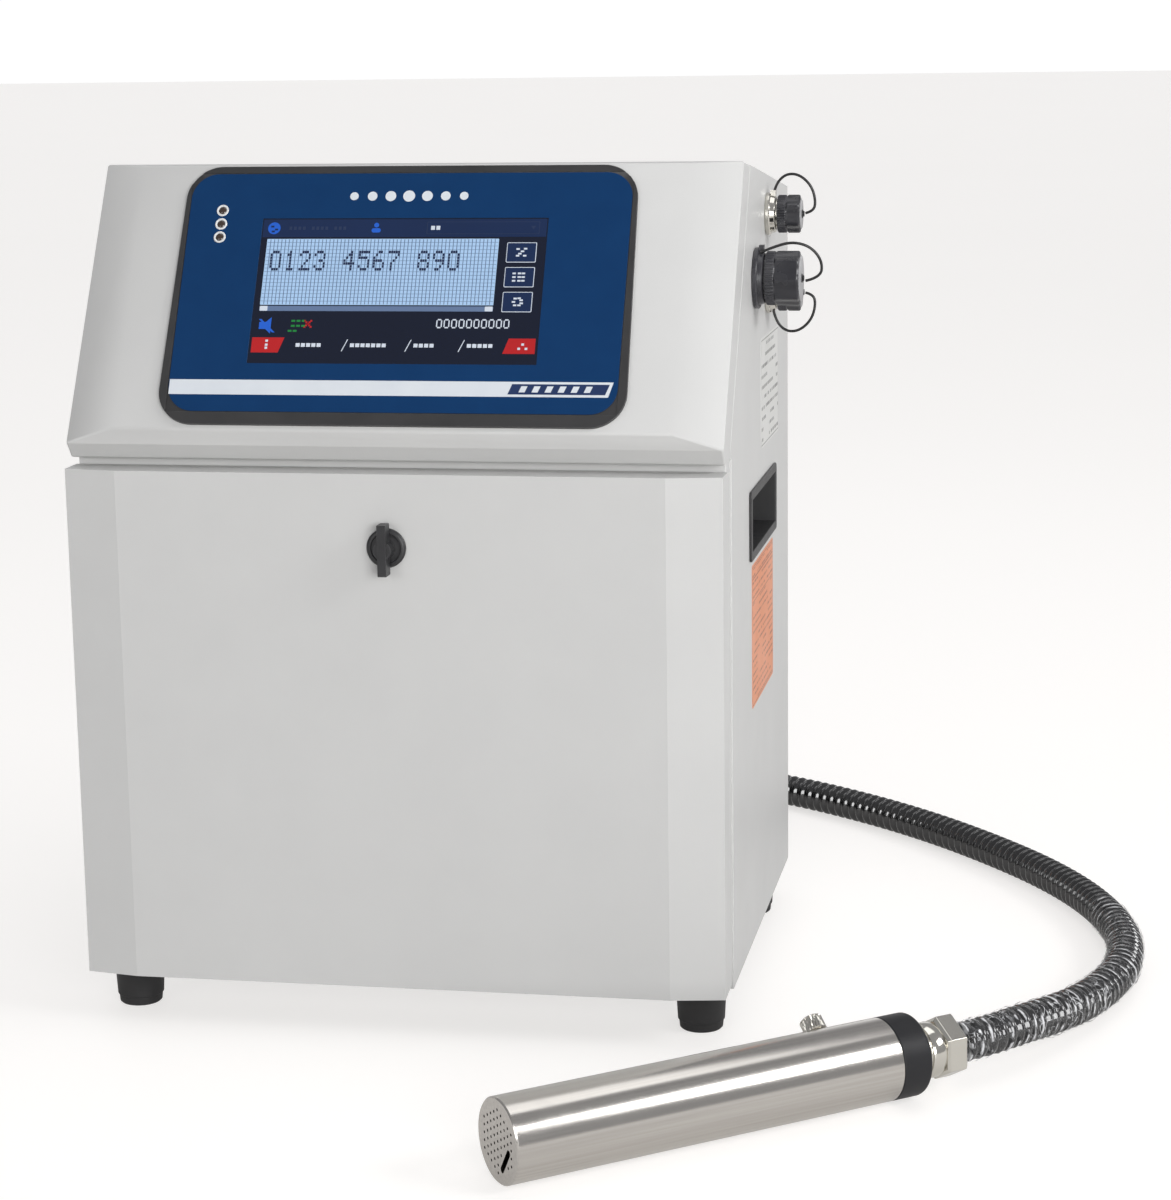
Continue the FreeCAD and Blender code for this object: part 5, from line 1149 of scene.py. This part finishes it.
@dataclass
class Console(SubAssembly):
    """The sloped face: bezel, blue overlay, status lights and the display with its picture.

    Everything lies in the face's own frame: X across, Y up the slope from its lower edge and Z
    out of it.
    """

    face_low: Point = (2.1, 343.2)
    face_high: Point = (78.9, 483.7)
    depth_shift: float = -146.0
    screen_low: Point = (-83.0, 38.6)
    screen_high: Point = (80.5, 126.0)
    message_low: Point = (-79.3, 73.6)
    message_high: Point = (53.6, 113.5)
    message_grid: tuple[int, int] = (62, 18)
    number: str = "0123 4567 890"
    lights: tuple = (114.6, 122.6, 130.9)
    light_across: float = -107.3
    key_across: float = 66.8
    key_heights: tuple = (105.2, 90.4, 75.6)
    key_marks: tuple = (((-2, -2), (-2, 2), (2, -2), (0.6, 0.6), (2.2, 2.2), (-0.8, -0.8)),
                        ((-3, 2.2), (0, 2.2), (2.2, 2.2), (-3, 0), (0, 0), (2.2, 0), (-3, -2.2),
                         (0, -2.2), (2.2, -2.2)),
                        ((-2, 0), (-1.2, 2), (1, 2.2), (2.2, 1), (-1.2, -2), (1.2, -2),
                         (2.4, -0.8)))
    tabs: tuple = ((-55, 5), (-24, 7), (12, 4), (42, 5))

    def plane(self) -> Matrix:
        """Return the matrix from the face's frame to the part's."""
        low = Vector((0, self.face_low[0] + self.depth_shift, self.face_low[1])) * MM
        high = Vector((0, self.face_high[0] + self.depth_shift, self.face_high[1])) * MM
        up = (high - low).normalized()
        out = Vector((1, 0, 0)).cross(up)
        turn = Matrix((Vector((1, 0, 0)), up, out)).transposed().to_4x4()
        return Matrix.Translation(low) @ turn

    def top_of(self, node: str) -> float:
        """Return how far a CAD node stands out of the face, in metres."""
        back = self.plane().inverted()
        return max((back @ v.co).z for v in frame["nodes"][node].data.vertices)

    def status_lights(self, top: float) -> None:
        """Make three round status lights, each a white collar round a dark lens."""
        collar = ringed((-0.1, 2.3), (-0.1, 3.5), (0.5, 3.5), (0.8, 3.2), (0.8, 2.6), (0.5, 2.3))
        lens = ringed((-0.1, 2.3), (0.3, 2.3), (0.7, 1.9), (0.95, 1.1), (1.05, 0))
        for number, up in enumerate(self.lights, 1):
            matrix = self.plane() @ Matrix.Translation((self.light_across * MM, up * MM, top))
            for name, rows, hollow, finish in (("collar", collar, True, LED_WHITE),
                                               ("lens", lens, False, LED_DARK)):
                self.lay(f"status_{name}_{number}", turned(rows, 40, hollow=hollow), matrix, finish,
                         body="cabinet", slot="lamp_white")

    def artwork(self, sheet: Print) -> None:
        """Print the overlay: a white stripe, slanted marks at its end and a row of drops."""
        sheet.strip("stripe", [(-126, 19.8), (121.5, 19.8), (124, 28.6), (-126, 28.6)], 0, STRIPE)
        sheet.strip("stripe_end", [(66, 21.2), (119.8, 21.2), (122.0, 27.2), (68.2, 27.2)], 1,
                    INK_BLUE)
        for index in range(6):
            left = 72 + 7.2 * index
            sheet.strip(f"slash_{index + 1}", [(left, 22.4), (left + 3.4, 22.4), (left + 4.8, 26),
                                               (left + 1.4, 26)], 2, STRIPE)
        for index in range(7):
            size = 3.4 - 0.32 * abs(index - 3)
            sheet.patch(f"drop_{index + 1}", (-31.5 + 10.5 * index, 139.4), (size, size),
                        size - 0.02, 0, STRIPE)

    def picture(self, sheet: Print) -> None:
        """Draw the display: its bars, message area, keys and counters."""
        (left, low), (right, high) = self.screen_low, self.screen_high
        middle = ((left + right) / 2, (low + high) / 2)
        half = ((right - left) / 2, (high - low) / 2)
        sheet.patch("cover", middle, (half[0] + 1.2, half[1] + 1.2), 2.0, 0, GLASS)
        sheet.patch("field", middle, half, 0.6, 1, NAVY)
        sheet.patch("top_bar", (middle[0], high - 6), (half[0] - 0.6, 5.4), 0.5, 2, BAR)
        sheet.patch("globe", (left + 7, high - 6), (3.6, 3.6), 3.58, 3, BLUE)
        sheet.spread("globe_marks", [(left + 6, high - 5), (left + 8.4, high - 6.8),
                                     (left + 6.6, high - 8)], (1.8, 1.1), 4, BAR)
        sheet.patch("menu", (44, high - 6), (32, 3.8), 0.6, 3, TAB)
        sheet.patch("menu_face", (44, high - 6), (31.6, 3.4), 0.5, 4, BAR)
        sheet.spread("menu_marks", [(15.5, high - 6), (18.5, high - 6)], (2.2, 2.4), 5, PALE_INK)
        sheet.strip("menu_arrow", [(71, high - 5), (74, high - 5), (72.5, high - 7)], 5, TAB)
        sheet.patch("user", (-17, high - 4.2), (1.4, 1.4), 1.38, 3, BLUE)
        sheet.patch("user_body", (-17, high - 7.4), (2.6, 1.3), 1.2, 3, BLUE)
        sheet.spread("top_marks", [(left + 14 + 2.6 * i, high - 6) for i in range(14) if i % 5],
                     (1.6, 2.0), 3, TAB)
        self.message(sheet)
        self.keys(sheet)
        self.counters(sheet)

    def message(self, sheet: Print) -> None:
        """Draw the message area: its grid, and a number in dots."""
        (left, low), (right, high) = self.message_low, self.message_high
        wide, tall = right - left, high - low
        middle = ((left + right) / 2, (low + high) / 2)
        across, down = self.message_grid
        sheet.patch("message", middle, (wide / 2, tall / 2), 0.4, 2, PALE)
        sheet.spread("columns", [(left + wide / across * i, middle[1]) for i in range(1, across)],
                     (0.42, tall - 0.6), 3.2, GRID)
        sheet.spread("rows", [(middle[0], low + tall * i / down) for i in range(1, down)],
                     (wide - 0.6, 0.2), 3.2, GRID)
        dots = []
        for place, digit in enumerate(self.number):
            dots += self.digit(digit, left + 3.5 + 8.5 * place, high - 8.0, (1.3, 1.75))
        sheet.spread("number", dots, (1.15, 1.5), 4, INK)
        sheet.patch("scroll", (middle[0], low - 2.2), (wide / 2, 1.5), 0.4, 2, GRID)
        for name, spot in (("left", left + 2.4), ("right", right - 2.4)):
            sheet.patch(f"scroll_{name}", (spot, low - 2.2), (2.2, 1.4), 0.4, 3, PALE_INK)

    def digit(self, digit: str, left: float, top: float, pitch: Point) -> list[Point]:
        """Return the dots of a digit, five across and seven down, in millimetres."""
        rows = DIGIT_ROWS.get(digit, ())
        return [(left + pitch[0] * column, top - pitch[1] * row) for row, bits in enumerate(rows)
                for column in range(5) if bits >> (4 - column) & 1]

    def keys(self, sheet: Print) -> None:
        """Draw the column of outlined keys, the row of tabs and the two red keys."""
        across = self.key_across
        for number, (up, marks) in enumerate(zip(self.key_heights, self.key_marks), 1):
            sheet.patch(f"key_{number}", (across, up), (8.4, 6.0), 0.7, 2, PALE_INK)
            sheet.patch(f"key_face_{number}", (across, up), (8.0, 5.6), 0.5, 3, BAR)
            sheet.spread(f"key_marks_{number}", [(across + x, up + y) for x, y in marks],
                         (1.9, 1.0), 4, PALE_INK)
        for index, (start, long) in enumerate(self.tabs):
            if index:
                sheet.strip(f"slant_{index}", [(start - 6, 46), (start - 5.5, 46),
                                               (start - 2.5, 53), (start - 3, 53)], 2, PALE_INK)
            sheet.spread(f"tab_marks_{index + 1}", [(start + 3.0 * i, 49.6) for i in range(long)],
                         (2.3, 2.2), 2, PALE_INK)
        sheet.strip("red_key_left", [(-81.5, 45), (-66, 45), (-63, 54), (-81.5, 54)], 2, RED)
        sheet.strip("red_key_right", [(61, 45), (79, 45), (79, 54), (64, 54)], 2, RED)
        sheet.spread("red_key_marks", [(-73, 47.8), (-73, 49.6), (-73, 52), (70, 48), (72, 50.5),
                                       (74, 48)], (1.5, 1.3), 3, PALE_INK)

    def counters(self, sheet: Print) -> None:
        """Draw the row of icons and the counter's zeros."""
        sheet.strip("icon_slash", [(-79, 65), (-77.4, 65), (-69, 57), (-70.6, 57)], 2, BLUE)
        sheet.strip("icon_cone", [(-78.4, 59), (-74.6, 59), (-71.6, 56.2), (-71.6, 66),
                                  (-74.6, 63.2), (-78.4, 63.2)], 3, BLUE)
        sheet.spread("icon_green", [(-59, 61), (-59, 64), (-56, 64), (-53, 64), (-53, 61),
                                    (-56, 61), (-60.5, 58), (-57.6, 58)], (2.2, 1.2), 2, GREEN)
        cross = [(-50.5 + 0.9 * i, 62.2 + 0.9 * way * i) for way in (1, -1) for i in range(-2, 3)]
        sheet.spread("icon_cross", cross, (1.1, 1.1), 2, RED)
        dots = []
        for place in range(10):
            dots += self.digit("0", 22.8 + 4.2 * place, 65.0, (0.66, 0.78))
        sheet.spread("counter", dots, (0.66, 0.78), 2, PALE_INK)

    def build(self) -> None:
        """Dress the bezel and the overlay, and make the lights, the artwork and the picture."""
        self.soften("bezel_frame", BEZEL, 1.0, 3)
        self.soften("overlay_panel", OVERLAY, 0.15, 2)
        top, screen = self.top_of("overlay_panel"), self.top_of("display_screen")
        LOG.info("overlay stands %.2f mm and the screen %.2f mm out", top / MM, screen / MM)
        self.keep("display_screen", GLASS)
        self.keep("display_module", BLACK)
        self.keep("status_leds", LED_WHITE)
        self.status_lights(self.top_of("status_leds") - 0.5 * MM)
        self.artwork(Print("overlay_", "overlay_blue", self.plane(), top))
        self.picture(Print("display_", "screen_glass", self.plane(), screen))


@dataclass
class Door(SubAssembly):
    """The front door with its gasket and its quarter-turn latch."""

    def build(self) -> None:
        """Make the door, the latch's ring and its wing."""
        self.soften("door", PAINT, 1.4, 3)
        self.keep("door_gasket", RUBBER)
        low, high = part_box("latch_ring")
        radius, depth = (high.z - low.z) / 2, high.y - low.y
        middle = Vector(((low.x + high.x) / 2, high.y, (low.z + high.z) / 2))
        matrix = pointing(middle, Vector((0, -1, 0)))
        rows = [(0, 0.42), (0, 1), (0.55, 1), (0.85, 0.95), (1, 0.86), (1, 0.78), (0.78, 0.74),
                (0.72, 0.62), (0.80, 0.54), (0.80, 0.44)]
        rose = turned([Ring(along * depth, wide * radius) for along, wide in rows], 72, hollow=True)
        self.lay("latch_rose", rose, matrix, BLACK, "latch_ring")
        self.soften("latch_wing", BLACK, 1.1, 3)
        self.soften("latch_cam", SCREW, 0.4)


@dataclass
class Cabinet(SubAssembly):
    """The painted shell with its frame, handles, labels, feet, fasteners and back fittings."""

    foot_across: float = 166.4
    foot_deep: float = 112.0

    def build(self) -> None:
        """Dress the shell and what it carries."""
        for node, width in (("left_side_panel", 1.0), ("right_side_panel", 1.0), ("top_panel", 1.2),
                            ("hood", 1.6), ("front_frame", 0.8), ("back_panel", 0.8)):
            self.soften(node, PAINT, width, 3)
        for node in ("base_plate", "mid_shelf", "manifold_plate"):
            self.soften(node, ZINC, 0.4)
        self.soften("hinge_brackets", SCREW, 0.5)
        for node in ("left_handle", "right_handle"):
            self.soften(node, HANDLE, 0.7, 3)
        self.keep("fasteners", SCREW)
        self.labels()
        self.feet()
        self.back()

    def labels(self) -> None:
        """Make the two printed labels on the right side, each with round corners."""
        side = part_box("right_side_panel")[1].x
        turn = Matrix(((0, 0, 1, 0), (1, 0, 0, 0), (0, 1, 0, 0), (0, 0, 0, 1)))
        for finish, nodes in ((ORANGE, ["side_labels"]), (WHITE, [])):
            outline = [(finish.middle[0] + y, finish.middle[1] + z)
                       for y, z in rounded_outline(finish.half, 2.5 * MM)]
            self.lay(finish.name + "_plate", slab(outline, side - 0.05 * MM, side + 0.2 * MM), turn,
                     finish, *nodes, body="cabinet", slot="label_orange")

    def feet(self) -> None:
        """Make the four rubber feet, each a turned cup round its screw."""
        low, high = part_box("rubber_feet")
        spots = [Vector((across * self.foot_across * MM, deep * self.foot_deep * MM, low.z))
                 for across in (-1, 1) for deep in (-1, 1)]
        tall = (high.z - low.z) / MM
        rows = ringed((3.5, 0), (3.5, 4.5), (0, 5), (0, 11.4), (0.9, 12.3), (5, 12.7), (5.6, 13.4),
                      (tall - 4, 14.1), (tall - 3.4, 14.5), (tall, 14.5), (tall, 0))
        part = finished("foot_form", turned(rows, 48))
        part.hide_render = True
        feet = COPIES.run("cabinet_feet", points_mesh("feet", spots), RUBBER, Part=part)
        bpy.data.objects.remove(part)
        self.dress(feet, None, "rubber_feet")

    def back(self) -> None:
        """Dress the fan, its guard, the power inlet with its switch and the conduit's gland."""
        for node, finish, width in (("fan_housing", BLACK, 0.8), ("fan_rotor", BLACK, 0.3),
                                    ("power_inlet", BLACK, 0.5), ("power_switch", BLACK, 0.5),
                                    ("back_gland", NICKEL, 0.4)):
            self.soften(node, finish, width)
        self.keep("fan_guard", NICKEL)


@dataclass
class ServiceBay(SubAssembly):
    """What is behind the door and above the shelf: fluids, electronics and hoses."""

    def build(self) -> None:
        """Dress each piece of the bay."""
        for node, finish, width in (("drip_tray", BLACK, 0.6), ("ink_bottle", BOTTLE, 3.0),
                                    ("solvent_bottle", BOTTLE, 3.0), ("valve_block", CERAMIC, 0.6),
                                    ("fluid_filter", BLACK, 0.8), ("pump_unit", FOLDED, 0.6),
                                    ("power_supply", FOLDED, 0.5), ("main_board", BOARD, 0.2)):
            self.soften(node, finish, width)
        self.keep("fluid_hoses", HOSE)
        for node in ("ink_cap", "solvent_cap"):
            self.bottle_cap(node)

    def bottle_cap(self, node: str) -> None:
        """Make a bottle's ribbed cap."""
        low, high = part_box(node)
        radius, tall = (high.x - low.x) / 2, high.z - low.z
        rows = [(0, 0), (0, 1), (0.12, 1, 0.05), (0.85, 0.97, 0.05), (0.95, 0.92), (1, 0.84),
                (1, 0.6), (0.94, 0.57), (0.94, 0)]
        outline = [Ring(along * tall, *(wide * radius for wide in rest)) for along, *rest in rows]
        centre = Vector(((low.x + high.x) / 2, (low.y + high.y) / 2, low.z))
        self.lay(node + "_ribbed", turned(outline, 180, flutes=36), Matrix.Translation(centre),
                 CAP_BLUE, node)


@dataclass
class PrintHead(SubAssembly):
    """The print head: tube, end deck, sleeve, gland, its thumb screw and what is inside."""

    start: Place = (100.5, -354.2, 22.2)
    turn: float = HEAD_TURN
    sleeve_end: float = 244.6
    gland_end: float = 272.0
    collar_long: float = 14.4
    screw_along: float = 197.0
    screw_tilt: float = 50.0
    knob: float = 6.3
    knob_start: float = 22.6
    knob_tall: float = 9.0
    knurls: int = 22
    knurl_twist: float = 900.0

    def ahead(self) -> Vector:
        """Return the way that the head runs back from its front face."""
        turn = math.radians(self.turn)
        return Vector((math.cos(turn), math.sin(turn), 0))

    def gland(self) -> None:
        """Make the gland: a domed collar with a groove, and a chamfered hexagonal nut."""
        start, middle, end = self.sleeve_end, self.sleeve_end + self.collar_long, self.gland_end
        collar = turned(ringed((start, 0), (start, 14.2), (start + 0.8, 15), (start + 3.6, 15),
                               (start + 4.2, 14.5), (start + 4.4, 13.4), (start + 5.4, 13.4),
                               (start + 5.6, 14.2), (start + 7.5, 14.9), (middle - 2.5, 15),
                               (middle - 0.6, 14.4), (middle, 13.9), (middle, 0)), 72)
        nut = turned(ringed((middle, 0), (middle, 15.6), (middle + 1.6, 17.5), (end - 1.6, 17.5),
                            (end, 15.6), (end, 0)), 6)
        whole = placed(joined([collar, nut]), pointing(Vector(self.start) * MM, self.ahead()))
        piece = rounded(finished("head_gland_nut", whole, 28.0), 0.3 * MM)
        self.dress(piece, NICKEL, "head_gland")

    def screw(self) -> None:
        """Make the thumb screw: a knurled knob with chamfered ends on its stem."""
        up, tilt = Vector((0, 0, 1)), math.radians(self.screw_tilt)
        axis = math.sin(tilt) * up.cross(self.ahead()) + math.cos(tilt) * up
        foot = Vector(self.start) * MM + self.screw_along * MM * self.ahead()
        low, high, wide = self.knob_start, self.knob_start + self.knob_tall, self.knob
        knob = turned(ringed((low, 0), (low, wide - 1.2), (low + 0.8, wide, 0.2),
                             (low + 1.4, wide, 0.9), (low + 3.3, wide, 0.9), (low + 5.2, wide, 0.9),
                             (high - 1.4, wide, 0.9), (high - 0.8, wide, 0.2),
                             (high - 0.1, wide - 0.9), (high, wide - 1.4), (high, 2.6),
                             (high - 0.6, 2.2), (high - 0.6, 0)),
                      8 * self.knurls, flutes=self.knurls, twist=self.knurl_twist)
        stem = turned(ringed((21.0, 0), (21.0, 2.7), (21.3, 3.0), (low + 0.2, 3.0), (low + 0.2, 0)),
                      40)
        self.lay("thumb_screw_knob", joined([knob, stem]), pointing(foot, axis), NICKEL,
                 "thumb_screw", sharp=40.0)

    def build(self) -> None:
        """Dress the head's pieces and make the gland and the screw."""
        self.soften("head_cover", TUBE, 0.5)
        self.keep("head_spigot", TUBE)
        self.soften("head_deck", TUBE, 0.25)
        self.soften("head_sleeve", SLEEVE, 1.2, 3)
        self.gland()
        self.keep("drop_generator", SCREW)
        self.keep("jet_parts", CERAMIC)
        self.screw()


@dataclass
class Studio:
    """The camera, the pale floor, the white ground behind it and soft lights."""

    place: Place = (0.39596, -1.67535, 0.55917)
    yaw: float = -10.6158
    pitch: float = 11.1582
    roll: float = -0.8446
    lens: float = 87.5
    floor_reach: float = 30.0
    floor_glow: float = 0.66
    grey: Colour = (0.36, 0.36, 0.37)
    white: Colour = (1.02, 1.02, 1.02)
    lamps: tuple = (("front_right", (1.5, -2.7, 0.75), (0.05, -0.1, 0.3), (1.5, 1.2), 46),
                    ("front_left", (-1.3, -2.8, 0.9), (0, 0, 0.25), (1.0, 1.0), 11),
                    ("side", (2.4, -0.5, 1.55), (0.15, -0.1, 0.15), (1.1, 0.7), 26),
                    ("top", (0.4, 0.5, 2.6), (0.1, 0.1, 0.1), (1.6, 1.6), 10))

    def camera(self) -> None:
        """Make the camera: turned by yaw, tipped down by pitch, then rolled."""
        data = bpy.data.cameras.new("camera")
        data.lens, data.sensor_width = self.lens, 36.0
        camera = linked("camera", data)
        yaw, pitch, roll = (math.radians(angle) for angle in (self.yaw, self.pitch, self.roll))
        turn = (Matrix.Rotation(-yaw, 4, "Z") @ Matrix.Rotation(math.pi / 2 - pitch, 4, "X")
                @ Matrix.Rotation(roll, 4, "Z"))
        camera.matrix_world = Matrix.Translation(self.place) @ turn
        bpy.context.scene.camera = camera

    def lamp(self, name: str, place: Place, aim: Place, size: Point, power: float) -> None:
        """Add a soft area lamp that stands at place and looks at aim."""
        data = bpy.data.lights.new(name, "AREA")
        data.shape, data.size, data.size_y, data.energy = "RECTANGLE", *size, power
        lamp = linked(name, data)
        lamp.location = place
        lamp.rotation_euler = (Vector(aim) - Vector(place)).to_track_quat("-Z", "Y").to_euler()

    def floor(self) -> None:
        """Make the floor."""
        floor = linked("floor", bpy.data.meshes.new("floor"))
        reach = self.floor_reach
        sheet = slab([(-reach, -reach), (reach, -reach), (reach, reach), (-reach, reach)],
                     -0.01, 0.0)
        sheet.to_mesh(floor.data)
        sheet.free()
        shader = Shader("floor_white", roughness=0.6)
        grain = shader.group(grain_group(), Scale=60.0)
        shader.set("Base Color", shader.graph.mix(grain.outputs["Mottle"], (0.42, 0.41, 0.40),
                                                  (0.44, 0.43, 0.42)))
        path = shader.graph.add("ShaderNodeLightPath").outputs
        seen = shader.graph.math("MULTIPLY_ADD", path["Is Glossy Ray"], 0.5, path["Is Camera Ray"])
        shader.set("Emission Color", (1.0, 0.985, 0.97))
        shader.set("Emission Strength", shader.graph.math("MULTIPLY", seen, self.floor_glow))
        floor.data.materials.append(shader.material)

    def sky(self) -> None:
        """Make the world: white low behind the object, grey above and in front of it."""
        world = bpy.data.worlds.new("studio")
        world.use_nodes = True
        graph = Graph(world.node_tree)
        split = graph.add("ShaderNodeSeparateXYZ",
                          {0: graph.add("ShaderNodeTexCoord").outputs["Generated"]})
        behind = graph.between(split.outputs["Y"], 0.15, 0.75)
        low = graph.between(split.outputs["Z"], 0.12, 0.42, 1.0, 0.0)
        seen = graph.add("ShaderNodeLightPath").outputs["Is Camera Ray"]
        white = graph.math("MAXIMUM", graph.math("MULTIPLY", behind, low), seen)
        back = world.node_tree.nodes["Background"]
        graph.feed(back.inputs["Color"], graph.mix(white, self.grey, self.white))
        bpy.context.scene.world = world

    def build(self) -> None:
        """Make the floor, the world and the lamps."""
        self.floor()
        self.sky()
        for lamp in self.lamps:
            self.lamp(*lamp)
        bpy.context.scene.view_settings.view_transform = "Standard"


def main() -> None:
    """Build everything in order."""
    logging.basicConfig(level=logging.INFO, format="%(name)s: %(message)s")
    studio = Studio()
    studio.camera()
    connectors = Connectors()
    Conduit().build()
    connectors.lanyards()
    for assembly in (studio, Cabinet(), Door(), Console(), connectors, ServiceBay(), PrintHead()):
        assembly.build()


if __name__ == "__main__":
    main()
